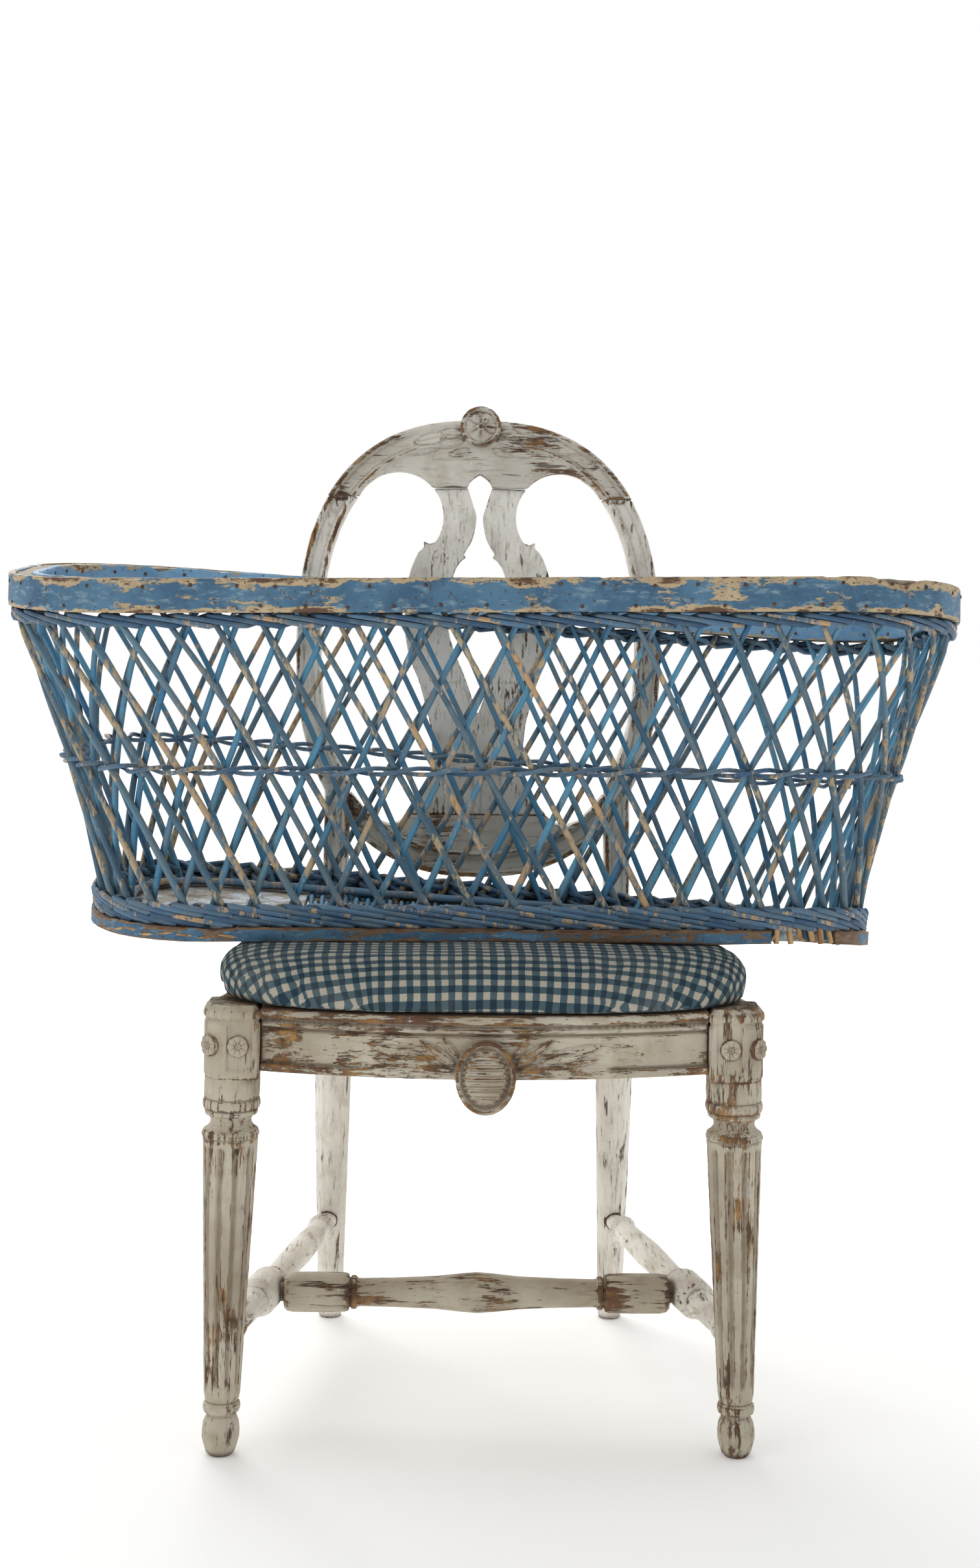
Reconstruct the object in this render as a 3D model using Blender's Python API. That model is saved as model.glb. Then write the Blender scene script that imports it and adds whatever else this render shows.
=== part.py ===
"""A painted wicker bassinet resting on the drop-in seat of a carved, oval-backed side chair.

Metres, +Z up. The front of the chair faces -Y, the bassinet lies along X, and the origin is on the
floor under the middle of the whole. Each sub-part is one object. Neighbours keep a gap of GAP.
"""
import math

import bmesh
import bpy
from mathutils import Vector

GAP = 0.0003            # clearance between pieces that touch

# Chair, seen from above: a trapezium with a bowed front.
SEAT_TOP = 0.396        # top of the seat rails
RAIL_BOTTOM = 0.340
FRONT_THICKNESS = 0.030
SIDE_THICKNESS = 0.024
REBATE = 0.012          # width and depth of the step that the drop-in seat lies in
LEG_X = 0.221           # front leg centres
LEG_Y = -0.210
FOOT_SPLAY = 0.0065      # the front feet stand this much wider than the blocks
BLOCK_HALF = 0.025      # square top of a front leg
BLOCK_BOTTOM = 0.333
BLOCK_OUTER_RADIUS = 0.021
BLOCK_INNER_RADIUS = 0.004
FACE_INSET = 0.004      # rails sit back from the leg faces
FRONT_BOW = 0.030
TENON = (0.014, 0.008, 0.034)   # length, thickness and height of a rail's tenon
TENON_Z = 0.363

REAR_X = 0.1455         # rear leg centres
REAR_Y = 0.155
REAR_HALF_WIDTH = 0.019
REAR_HALF_DEPTH = 0.016
REAR_FOOT_Y = 0.177
RAKE = math.tan(math.radians(10.1))

# Oval back, drawn in the plane x, z and leaned back by RAKE.
OVAL_Z = 0.697
OVAL_HALF_WIDTH = 0.192
OVAL_UP = 0.240
OVAL_DOWN = 0.237
OVAL_POWER_UP = 2.5
OVAL_POWER_DOWN = 2.3
OVAL_BAND = 0.0265
BACK_HALF_DEPTH = 0.013
CREST_JOINT_Z = 0.854
MEDALLION_Z = 0.931
MEDALLION_RADIUS = 0.0213
SPLAT_HEAD_Z = 0.865
SPLAT_FOOT_Z = 0.523
SPLAT_HALF_DEPTH = 0.007
NOTCH_HALF_WIDTH = 0.013    # onion-shaped opening under the crest
NOTCH_TOP_Z = 0.879

STRETCHER_Z = 0.104
CROSS_SHARE = 0.33      # how far back the cross stretcher is, as a share of the leg spacing
STRETCHER_TENON = 0.008
TENON_RADIUS = 0.0085

# Bassinet wall: it flares from one rounded rectangle at the foot to another at the head.
BASKET_Y = -0.022
BASE_Z = 0.442          # underside of the base hoop, on the cushion
WALL_FOOT = 0.4543
WALL_HEAD = 0.742
RIM_TOP = 0.7725
FOOT = (0.353, 0.126, 0.104)    # half length, half width and corner radius of the wall's middle
HEAD = (0.4305, 0.183, 0.134)
FLARE_POWER = 1.35
FLARE_REACH = 0.94      # the wall stands upright above this share, inside the rim
FOOT_SPREAD = 0.26      # the stakes stand wider apart along the foot's sides than round its ends
STAKES = 54             # in each of the two layers
PANELS = (("front", -6, 6), ("right_front", 7, 13), ("right_back", 14, 20), ("back", 21, 33),
          ("left_back", 34, 40), ("left_front", 41, 47))    # first and last stake of each
STAKE_RADIUS = (0.0039, 0.0029)     # at foot and head
LAYER_SPACE = 0.0008    # from each layer to the middle of the wall
OUTER_LEAN = -4.0       # stake spacings that an outer stake moves round the wall from foot to head
INNER_LEAN = 3.4
MIDDLE_RING = 0.0042    # half the diagonal of the rod that binds each layer half way up
TWIST_MEAN = -0.014     # the old basket is out of true: its back edge sinks to the right
TWIST_RATE = -0.070
RIM_RISE = 0.013        # the rim climbs to the right, while the foot lies level
BOARD_EDGES = (-0.170, 0.220)   # the end boards reach in to these x
FLOOR_BOTTOM = 0.4445
FLOOR_TOP = 0.4535
FLOOR_INSET = 0.0100
STICK_SPACING = 0.045
HOOP_GAP = 0.0079       # from the middle of the wall to the hoops that clasp the stakes
HOOP_THICKNESS = 0.0058


# ---------------------------------------------------------------- helpers
def clear_scene():
    for item in list(bpy.data.objects):
        bpy.data.objects.remove(item)


def make_material(name, colour, roughness):
    material = bpy.data.materials.new(name)
    material.use_nodes = True
    shader = material.node_tree.nodes["Principled BSDF"]
    shader.inputs["Base Color"].default_value = (*colour, 1.0)
    shader.inputs["Roughness"].default_value = roughness
    shader.inputs["Metallic"].default_value = 0.0
    return material


def add_object(name, mesh_data, material, smooth=None):
    """Links the closed shape as an object, shading faces that meet below `smooth` degrees as round."""
    bmesh.ops.recalc_face_normals(mesh_data, faces=mesh_data.faces)
    mesh = bpy.data.meshes.new(name)
    mesh_data.to_mesh(mesh)
    mesh_data.free()
    mesh.materials.append(material)
    if smooth:
        mesh.shade_smooth()
        mesh.set_sharp_from_angle(angle=math.radians(smooth))
    item = bpy.data.objects.new(name, mesh)
    bpy.context.scene.collection.objects.link(item)
    return item


def make_group(name, height, make, *materials):
    """Runs a maker and parents what it made to an empty on the slide's axis at the height."""
    before = set(bpy.data.objects)
    make(*materials)
    made = [item for item in bpy.data.objects if item not in before]
    empty = bpy.data.objects.new(name, None)
    empty.location = (0, 0, height)
    bpy.context.scene.collection.objects.link(empty)
    for item in made:
        item.parent = empty
        item.location = (0, 0, -height)


def add_loft(shape, sections, closed=False):
    """Joins rings of the same number of points into one solid, with end faces unless it closes on itself."""
    rings = [[shape.verts.new(point) for point in section] for section in sections]
    count = len(rings[0])
    pairs = list(zip(rings, rings[1:]))
    if closed:
        pairs.append((rings[-1], rings[0]))
    for low, high in pairs:
        for i in range(count):
            j = (i + 1) % count
            shape.faces.new((low[i], low[j], high[j], high[i]))
    if not closed:
        shape.faces.new(rings[0])
        shape.faces.new(rings[-1])


def loft(name, sections, material, smooth=None, closed=False):
    shape = bmesh.new()
    add_loft(shape, sections, closed)
    return add_object(name, shape, material, smooth)


def add_prism(shape, outline, low, high, place):
    """Extrudes an outline from low to high; place(a, b, depth) turns its two coordinates into a point."""
    ends = [[shape.verts.new(place(a, b, depth)) for a, b in outline] for depth in (low, high)]
    shape.faces.new(ends[0])
    shape.faces.new(ends[1])
    for i in range(len(outline)):
        j = (i + 1) % len(outline)
        shape.faces.new((ends[0][i], ends[0][j], ends[1][j], ends[1][i]))


def flat_place(x, y, z):
    return (x, y, z)


def prism(name, outline, low, high, material, place=flat_place):
    shape = bmesh.new()
    add_prism(shape, outline, low, high, place)
    return add_object(name, shape, material)


def box(name, low, high, material):
    outline = [(low[0], low[1]), (high[0], low[1]), (high[0], high[1]), (low[0], high[1])]
    return prism(name, outline, low[2], high[2], material)


def combine(target, tool, operation="DIFFERENCE"):
    """Cuts the hidden tool out of the target, or joins it to the target."""
    tool.hide_render = True
    tool.display_type = "WIRE"
    modifier = target.modifiers.new(operation.title(), "BOOLEAN")
    modifier.operation = operation
    modifier.object = tool
    modifier.solver = "EXACT"


def circle(count, radius, phase=0.0):
    """Points of a circle, as pairs."""
    angles = [2 * math.pi * (i + phase) / count for i in range(count)]
    return [(radius * math.cos(angle), radius * math.sin(angle)) for angle in angles]


def turned(name, profile, sides, start, end, material):
    """A turned piece on the line from start to end. The profile lists radius and distance from start."""
    start, end = Vector(start), Vector(end)
    along = (end - start).normalized()
    side = along.cross(Vector((0, 0, 1))).normalized()
    up = side.cross(along)
    sections = []
    for radius, distance in profile:
        sections.append([start + along * distance + side * a + up * b for a, b in circle(sides, radius, 0.5)])
    return loft(name, sections, material, 40)


def bored_hole(name, start, end, material):
    """A cutter for the round socket of a stretcher's tenon."""
    length = (Vector(end) - Vector(start)).length
    radius = TENON_RADIUS + GAP
    return turned(name, [(radius, 0.0), (radius, length)], 12, start, end, material)


def mortise(name, middle, size, material):
    """A cutter for a rail's tenon, with clearance round it."""
    half = [length / 2 + 2 * GAP for length in size]
    low = [centre - side for centre, side in zip(middle, half)]
    high = [centre + side for centre, side in zip(middle, half)]
    return box(name, low, high, material)


# ---------------------------------------------------------------- chair
def front_face(x):
    """Front surface of the bowed front rail."""
    share = x / (LEG_X - BLOCK_HALF)
    return LEG_Y - BLOCK_HALF + FACE_INSET - FRONT_BOW * (1 - share * share)


def side_face(y):
    """Outer surface of a side rail, which runs from the front leg to the rear leg."""
    front_y, front_x = LEG_Y + BLOCK_HALF, LEG_X + BLOCK_HALF - FACE_INSET
    rear_y, rear_x = REAR_Y - REAR_HALF_DEPTH, REAR_X + REAR_HALF_WIDTH - FACE_INSET
    return front_x + (rear_x - front_x) * (y - front_y) / (rear_y - front_y)


def rail_profile(thickness):
    """Distance in from the outer face, and height: moulded outside, rebated inside."""
    ledge = SEAT_TOP - REBATE
    return [(0.005, SEAT_TOP), (0.0012, 0.3935), (0.0, 0.389), (0.0035, 0.382), (0.0030, 0.352),
            (0.0005, 0.348), (0.0, 0.343), (0.002, RAIL_BOTTOM), (thickness, RAIL_BOTTOM),
            (thickness, ledge), (REBATE, ledge), (REBATE, SEAT_TOP)]


def tenon_profile(thickness):
    """As many points as the rail's profile, on the tenon's smaller rectangle, in the same order."""
    outer, inner = thickness / 2 - TENON[1] / 2, thickness / 2 + TENON[1] / 2
    top, bottom = TENON_Z + TENON[2] / 2, TENON_Z - TENON[2] / 2
    front = [(outer, top - TENON[2] * i / 7) for i in range(8)]
    width = inner - outer
    return front + [(inner, bottom), (inner, top), (outer + width * 0.66, top), (outer + width * 0.33, top)]


def make_rail(name, stations, thickness, place, material):
    """A moulded rail with a tenon at each end; place(station, profile station, inward, height)."""
    first, last = stations[0], stations[-1]
    step = math.copysign(TENON[0], last - first)
    start = [[place(s, first, a, z) for a, z in tenon_profile(thickness)] for s in (first - step, first)]
    body = [[place(s, s, a, z) for a, z in rail_profile(thickness)] for s in stations]
    finish = [[place(s, last, a, z) for a, z in tenon_profile(thickness)] for s in (last, last + step)]
    return loft(name, start + body + finish, material)


def make_seat_rails(wood):
    reach = LEG_X - BLOCK_HALF - GAP
    stations = [reach * (i / 6 - 1) for i in range(13)]
    front = make_rail("front_rail", stations, FRONT_THICKNESS,
                      lambda s, at, inward, z: (s, front_face(at) + inward, z), wood)
    centre_z, half_width, half_height = 0.343, 0.026, 0.032
    oval = [(x * half_width, centre_z + z * half_height) for x, z in circle(24, 1.0)]
    face = front_face(0)
    medallion = prism("front_medallion_shape", oval, face - 0.004, face + 0.014, wood,
                      lambda x, z, y: (x, y, z))
    combine(front, medallion, "UNION")

    front_y, rear_y = LEG_Y + BLOCK_HALF + GAP, REAR_Y - REAR_HALF_DEPTH - GAP
    for side, sign in (("left", -1), ("right", 1)):
        make_rail(f"side_rail_{side}", [front_y, rear_y], SIDE_THICKNESS,
                  lambda s, at, inward, z, sign=sign: (sign * (side_face(at) - inward), s, z), wood)

    reach = REAR_X - REAR_HALF_WIDTH - GAP
    half = SIDE_THICKNESS / 2
    rear = box("rear_rail", (-reach, REAR_Y - half, RAIL_BOTTOM),
               (reach, REAR_Y + half, SEAT_TOP - REBATE), wood)
    length = 2 * (reach + TENON[0])
    tongues = mortise("rear_tongues", (0, REAR_Y, TENON_Z), (length, TENON[1], TENON[2] - 4 * GAP), wood)
    combine(rear, tongues, "UNION")


FRONT_LEG_PROFILE = (   # radius and height, from the foot up to the block
    (0.0115, 0.0), (0.0150, 0.008), (0.0165, 0.020), (0.0155, 0.029), (0.0128, 0.0355), (0.0160, 0.038),
    (0.0165, 0.042), (0.0160, 0.046), (0.0155, 0.050), (0.0238, 0.266), (0.0245, 0.275),
    (0.0235, 0.281), (0.0190, 0.286), (0.0180, 0.293), (0.0225, 0.301), (0.0255, 0.308),
    (0.0225, 0.316), (0.0215, 0.324))


def block_section(half, sign):
    """A square with one widely rounded corner, outwards and to the front, as 24 points."""
    points = []
    for corner in range(4):
        side_x = 1 if corner in (0, 3) else -1
        side_y = 1 if corner in (0, 1) else -1
        outer = side_x == sign and side_y == -1
        radius = BLOCK_OUTER_RADIUS if outer else BLOCK_INNER_RADIUS
        centre_x, centre_y = side_x * (half - radius), side_y * (half - radius)
        for i in range(6):
            angle = math.radians(90 * corner + 18 * i)
            points.append((centre_x + radius * math.cos(angle), centre_y + radius * math.sin(angle)))
    return points


def splay_at(z):
    """How far a front leg's axis stands outside its block's, at a height."""
    return FOOT_SPLAY * max(0.0, 1 - z / BLOCK_BOTTOM)


def side_stretcher_ends(sign):
    """Centres of the legs at the height of the stretchers."""
    front = Vector((sign * (LEG_X + splay_at(STRETCHER_Z)), LEG_Y, STRETCHER_Z))
    rear = Vector((sign * REAR_X, leg_y(STRETCHER_Z), STRETCHER_Z))
    return front, rear


def make_front_leg(side, sign, wood):
    centre_x = sign * LEG_X
    sections = []
    for radius, z in FRONT_LEG_PROFILE:
        at_x = centre_x + sign * splay_at(z)
        sections.append([(at_x + x, LEG_Y + y, z) for x, y in circle(24, radius, 0.5)])
    for half, z in ((0.0243, BLOCK_BOTTOM), (BLOCK_HALF, 0.345), (BLOCK_HALF, 0.392), (0.021, 0.3975)):
        sections.append([(centre_x + x, LEG_Y + y, z) for x, y in block_section(half, sign)])
    leg = loft(f"front_leg_{side}", sections, wood, 40)

    length, thick, tall = TENON
    inner = LEG_X - BLOCK_HALF
    rail_y = front_face(inner) + FRONT_THICKNESS / 2
    combine(leg, mortise(f"front_mortise_{side}", (sign * inner, rail_y, TENON_Z),
                         (2 * length + 2 * GAP, thick, tall), wood))
    back = LEG_Y + BLOCK_HALF
    rail_x = sign * (side_face(back) - SIDE_THICKNESS / 2)
    combine(leg, mortise(f"side_mortise_{side}", (rail_x, back, TENON_Z),
                         (thick, 2 * length + 2 * GAP, tall), wood))
    front, rear = side_stretcher_ends(sign)
    step = (rear - front).normalized()
    combine(leg, bored_hole(f"front_hole_{side}", front + step * (STRETCHER_TENON - GAP),
                            front + step * 0.05, wood))


def leg_y(z):
    """Middle of a rear leg: it leans forward up to the seat, and the back leans backward above it."""
    if z < RAIL_BOTTOM:
        return REAR_FOOT_Y + (REAR_Y - REAR_FOOT_Y) * z / RAIL_BOTTOM
    return REAR_Y + max(0.0, z - SEAT_TOP) * RAKE


def oval_point(angle, inset=0.0):
    """A point of the back's oval: angle 0 is the right side, a quarter turn the top."""
    c, s = math.cos(angle), math.sin(angle)
    tall, power = (OVAL_UP, OVAL_POWER_UP) if s >= 0 else (OVAL_DOWN, OVAL_POWER_DOWN)
    x = (OVAL_HALF_WIDTH - inset) * math.copysign(abs(c) ** (2 / power), c)
    z = OVAL_Z + (tall - inset) * math.copysign(abs(s) ** (2 / power), s)
    return x, z


def oval_angle(z, inset=0.0):
    """The angle on the right side, above the middle, at which the oval passes a height."""
    share = (z - OVAL_Z) / (OVAL_UP - inset)
    return math.asin(share ** (OVAL_POWER_UP / 2))


def oval_angle_at_x(x, inset=0.0):
    """The angle in the lower right at which the oval passes a distance from the middle."""
    return -math.acos((x / (OVAL_HALF_WIDTH - inset)) ** (OVAL_POWER_DOWN / 2))


def band_ring(outer, inner, depth, count=16):
    """A rounded rectangular ring between the points outer and inner in x, z."""
    ring = []
    for a, b in circle(count, 1.25, 0.5):
        across = 0.5 + 0.5 * max(-1.0, min(1.0, a))
        x = inner[0] + (outer[0] - inner[0]) * across
        z = inner[1] + (outer[1] - inner[1]) * across
        ring.append((x, leg_y(z) + depth * max(-1.0, min(1.0, b)), z))
    return ring


def make_rear_leg(side, sign, wood):
    """One piece from the foot to the crest joint: a round leg that becomes the side of the oval."""
    sections = []
    for radius, z in ((0.0115, 0.0), (0.0130, 0.012), (0.0212, 0.318), (0.0200, 0.328)):
        sections.append([(REAR_X + x, leg_y(z) + y, z) for x, y in circle(16, radius, 0.5)])
    for z in (0.334, SEAT_TOP):
        sections.append(band_ring((REAR_X + REAR_HALF_WIDTH, z), (REAR_X - REAR_HALF_WIDTH, z), REAR_HALF_DEPTH))
    outer_x, inner_x = REAR_X + OVAL_BAND / 2, REAR_X - OVAL_BAND / 2
    for z in (0.430, 0.500):
        sections.append(band_ring((outer_x, z), (inner_x, z), BACK_HALF_DEPTH))
    meet_outer = oval_angle_at_x(outer_x)
    meet_inner = oval_angle_at_x(inner_x, OVAL_BAND)
    end_outer = oval_angle(CREST_JOINT_Z)
    end_inner = oval_angle(CREST_JOINT_Z, OVAL_BAND)
    steps = 12
    for i in range(steps + 1):
        share = i / steps
        outer = oval_point(meet_outer + (end_outer - meet_outer) * share)
        inner = oval_point(meet_inner + (end_inner - meet_inner) * share, OVAL_BAND)
        sections.append(band_ring(outer, inner, BACK_HALF_DEPTH))
    sections = [[(sign * x, y, z) for x, y, z in ring] for ring in sections]
    leg = loft(f"rear_leg_{side}", sections, wood, 40)

    length, thick, tall = TENON
    front_y = REAR_Y - REAR_HALF_DEPTH
    rail_x = sign * (side_face(front_y) - SIDE_THICKNESS / 2)
    combine(leg, mortise(f"rear_side_mortise_{side}", (rail_x, front_y, TENON_Z),
                         (thick, 2 * length + 2 * GAP, tall), wood))
    tongue_end = REAR_X - REAR_HALF_WIDTH + TENON[0]
    combine(leg, mortise(f"rear_rail_mortise_{side}", (sign * (tongue_end - 0.02), REAR_Y, TENON_Z),
                         (0.040 + 4 * GAP, thick + 4 * GAP, tall), wood))
    front, rear = side_stretcher_ends(sign)
    step = (front - rear).normalized()
    combine(leg, bored_hole(f"rear_hole_{side}", rear + step * (0.004 - GAP), rear + step * 0.05, wood))


def mirrored(half):
    """A closed outline from its right half, listed from one end of the centre line to the other."""
    return half + [(-x, z) for x, z in reversed(half) if abs(x) > 1e-9]


def back_place(x, z, depth):
    return (x, leg_y(z) + depth, z)


def arc_points(centre, radius, start, end, count):
    """Points on a circle in x, z, with the angles in degrees."""
    points = []
    for i in range(count + 1):
        angle = math.radians(start + (end - start) * i / count)
        points.append((centre[0] + radius * math.cos(angle), centre[1] + radius * math.sin(angle)))
    return points


LOBE = ((0.086, 0.8335), 0.0475)     # round head of each side opening


def make_crest(wood):
    joint_z = CREST_JOINT_Z + 2 * GAP
    end_outer = oval_angle(joint_z)
    outer = [oval_point(math.pi / 2 - (math.pi / 2 - end_outer) * i / 9) for i in range(10)]
    inner_x = oval_point(oval_angle(joint_z, OVAL_BAND), OVAL_BAND)[0]
    low = SPLAT_HEAD_Z + GAP
    opening = [(inner_x, joint_z), (0.1215, 0.865)] + arc_points(*LOBE, 62, 139, 5)
    notch = [(NOTCH_HALF_WIDTH, low), (0.0110, 0.870), (0.0060, 0.875), (0.0, NOTCH_TOP_Z)]
    crest = prism("crest_rail", mirrored(outer + opening + notch), -BACK_HALF_DEPTH, BACK_HALF_DEPTH,
                  wood, back_place)
    disc = arc_points((0.0, MEDALLION_Z), MEDALLION_RADIUS, 0, 345, 23)
    combine(crest, prism("crest_medallion_shape", disc, -BACK_HALF_DEPTH - 0.003, BACK_HALF_DEPTH - 0.002,
                         wood, back_place), "UNION")


def make_splat(wood):
    """Two S-shaped branches that join in a waisted foot: the outline's right half, then its mirror."""
    inside = [(0.0, 0.6246), (0.013, 0.662), (0.023, 0.686), (0.031, 0.710), (0.033, 0.740),
              (0.0265, 0.774), (0.0170, 0.7915), (0.0075, 0.810), (0.0036, 0.832), (0.0070, 0.846),
              (NOTCH_HALF_WIDTH, SPLAT_HEAD_Z - GAP)]
    outside = arc_points(*LOBE, 140.5, 214, 5) + [
        (0.0580, 0.8035), (0.0665, 0.7920), (0.0742, 0.7705), (0.0780, 0.740), (0.0775, 0.710),
        (0.0720, 0.683), (0.0630, 0.662), (0.0560, 0.638), (0.0500, 0.615), (0.0470, 0.580),
        (0.0500, 0.560), (0.0580, 0.542), (0.0720, SPLAT_FOOT_Z)]
    prism("back_splat", mirrored(inside + outside), -SPLAT_HALF_DEPTH, SPLAT_HALF_DEPTH, wood, back_place)


def make_lower_rail(wood):
    reach = REAR_X - OVAL_BAND / 2 - GAP
    start = oval_angle_at_x(reach)
    outer = [oval_point(-math.pi / 2 + (math.pi / 2 + start) * i / 6) for i in range(7)]
    inner = [(reach, 0.545), (0.1175, 0.528), (0.106, 0.517), (0.091, 0.512), (0.080, 0.5150),
             (0.0720, SPLAT_FOOT_Z - GAP)]
    depth = BACK_HALF_DEPTH - 0.001
    prism("back_lower_rail", mirrored(outer + inner), -depth, depth, wood, back_place)


def make_stretchers(wood):
    slim, collar, stout = 0.0110, 0.0140, 0.0180
    starts = {}
    for side, sign in (("left", -1), ("right", 1)):
        front, rear = side_stretcher_ends(sign)
        step = (rear - front).normalized()
        start, end = front + step * STRETCHER_TENON, rear - step * 0.004
        length = (end - start).length
        middle = (rear - front).length * CROSS_SHARE - STRETCHER_TENON
        profile = [(TENON_RADIUS, 0.0), (TENON_RADIUS, 0.018), (slim, 0.024), (slim, middle - 0.038),
                   (collar, middle - 0.034), (collar, middle - 0.030), (stout, middle - 0.022),
                   (stout, middle + 0.022), (collar, middle + 0.030), (collar, middle + 0.034),
                   (slim, middle + 0.040), (0.0120, (middle + length) / 2), (slim, length - 0.046),
                   (collar, length - 0.040), (collar, length - 0.035), (slim, length - 0.030),
                   (TENON_RADIUS, length - 0.024), (TENON_RADIUS, length)]
        bar = turned(f"side_stretcher_{side}", profile, 12, start, end, wood)
        starts[side] = start + step * middle
        inward = Vector((-sign, 0, 0))
        combine(bar, bored_hole(f"cross_hole_{side}", starts[side] + inward * (STRETCHER_TENON - GAP),
                                starts[side] + inward * 0.05, wood))
    start = starts["left"] + Vector((STRETCHER_TENON, 0, 0))
    end = starts["right"] - Vector((STRETCHER_TENON, 0, 0))
    length = (end - start).length
    half = [(TENON_RADIUS, 0.0), (TENON_RADIUS, 0.0115), (0.0155, 0.0135), (0.0180, 0.020), (0.0180, 0.070),
            (0.0150, 0.074), (0.0150, 0.078), (0.0128, 0.082), (0.0132, length * 0.38), (0.0180, length * 0.47)]
    profile = half + [(radius, length - along) for radius, along in reversed(half)]
    turned("cross_stretcher", profile, 14, start, end, wood)


def make_corner_blocks(wood):
    low, high = RAIL_BOTTOM + 0.004, SEAT_TOP - REBATE - 0.002
    rear_front = REAR_Y - SIDE_THICKNESS / 2 - 2 * GAP
    leg_front = REAR_Y - REAR_HALF_DEPTH - 2 * GAP
    leg_in, leg_back = LEG_X - BLOCK_HALF - 2 * GAP, LEG_Y + BLOCK_HALF + 2 * GAP
    rear_leg_in = REAR_X - REAR_HALF_WIDTH - 2 * GAP

    def inner(y):
        return side_face(y) - SIDE_THICKNESS - 2 * GAP

    def rail_back(x):
        return front_face(x) + FRONT_THICKNESS + 4 * GAP

    front = [(0.140, rail_back(0.140)), (leg_in, rail_back(leg_in)), (leg_in, leg_back),
             (inner(leg_back), leg_back), (inner(-0.130), -0.130)]
    rear = [(0.075, rear_front), (inner(0.085), 0.085), (inner(leg_front), leg_front),
            (rear_leg_in, leg_front), (rear_leg_in, rear_front)]
    for side, sign in (("left", -1), ("right", 1)):
        prism(f"front_corner_block_{side}", [(sign * x, y) for x, y in front], low, high, wood)
        prism(f"rear_corner_block_{side}", [(sign * x, y) for x, y in rear], low, high, wood)


# ---------------------------------------------------------------- drop-in seat
SLIP_BAR = 0.045
SLIP_TOP = 0.402
STRAP = 0.050
STRAP_THICKNESS = 0.0012
CUSHION_BOTTOM = SLIP_TOP + 2 * STRAP_THICKNESS + 3 * GAP
CUSHION_MIDDLE = -0.056
CUSHION_HALF_DEPTH = 0.186


def slip_edge(y):
    """Outer edge of the drop-in seat's frame, inside the rebate."""
    return side_face(y) - REBATE - 2 * GAP


def make_seat_frame(wood):
    low = SEAT_TOP - REBATE + GAP
    back_of_leg = LEG_Y + BLOCK_HALF + 2 * GAP
    reach = LEG_X - BLOCK_HALF - 2 * GAP
    xs = [reach * (i / 5 - 1) for i in range(11)]
    curve = [(x, front_face(x) + REBATE + 4 * GAP) for x in xs]
    prism("seat_frame_front", curve + [(reach, back_of_leg), (-reach, back_of_leg)], low, SLIP_TOP, wood)
    near, join, far = back_of_leg + GAP, 0.090, REAR_Y - REAR_HALF_DEPTH - 2 * GAP
    for side, sign in (("left", -1), ("right", 1)):
        outline = [(slip_edge(near), near), (slip_edge(join), join),
                   (slip_edge(join) - SLIP_BAR, join), (slip_edge(near) - SLIP_BAR, near)]
        prism(f"seat_frame_{side}", [(sign * x, y) for x, y in outline], low, SLIP_TOP, wood)
    join += GAP
    prism("seat_frame_rear", [(-slip_edge(join), join), (slip_edge(join), join),
                              (slip_edge(far), far), (-slip_edge(far), far)], low, SLIP_TOP, wood)


def make_webbing(jute):
    """Straps tacked over the frame: three from front to back, and three across on top of them."""
    low = SLIP_TOP + GAP
    rear_y = REAR_Y - REAR_HALF_DEPTH - 0.012
    for number, x in enumerate((-0.085, 0.0, 0.085), 1):
        front_y = front_face(abs(x) + STRAP / 2) + 0.024
        box(f"webbing_lengthwise_{number}", (x - STRAP / 2, front_y, low),
            (x + STRAP / 2, rear_y, low + STRAP_THICKNESS), jute)
    low += STRAP_THICKNESS + GAP
    for number, y in enumerate((-0.135, -0.055, 0.025), 1):
        near, far = y - STRAP / 2, y + STRAP / 2
        outline = [(-slip_edge(near) + 0.010, near), (slip_edge(near) - 0.010, near),
                   (slip_edge(far) - 0.010, far), (-slip_edge(far) + 0.010, far)]
        prism(f"webbing_crosswise_{number}", outline, low, low + STRAP_THICKNESS, jute)


def cushion_outline(count):
    """The cushion from above: a rounded trapezium, wider in front, with a bowed front edge."""
    points = []
    for c, s in circle(count, 1.0, 0.5):
        y_share = math.copysign(abs(s) ** 0.42, s)
        x_share = math.copysign(abs(c) ** 0.42, c)
        y = CUSHION_MIDDLE + CUSHION_HALF_DEPTH * y_share
        x = (side_face(y) + 0.004) * x_share
        if y_share < 0:
            y += y_share * FRONT_BOW * 0.5 * (1 - x_share * x_share)
        points.append((x, y))
    return points


def make_cushion(cloth):
    """Domed, and pressed flat under the basket."""
    middle = Vector((0.0, CUSHION_MIDDLE))
    rings = ((0.955, CUSHION_BOTTOM), (0.985, 0.409), (1.000, 0.418), (0.990, 0.428), (0.955, 0.436),
             (0.880, 0.4412), (0.600, 0.4440), (0.250, 0.4440))
    sections = []
    for share, z in rings:
        ring = []
        for x, y in cushion_outline(28):
            at = middle + (Vector((x, y)) - middle) * share
            pressed = settled((at.x, at.y, BASE_Z))[2] - 2 * GAP
            ring.append((at.x, at.y, min(z, max(pressed, CUSHION_BOTTOM + 0.006))))
        sections.append(ring)
    loft("seat_cushion", sections, cloth, 60)


def make_seat(wood, jute, cloth):
    make_seat_frame(wood)
    make_webbing(jute)
    make_cushion(cloth)


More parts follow.
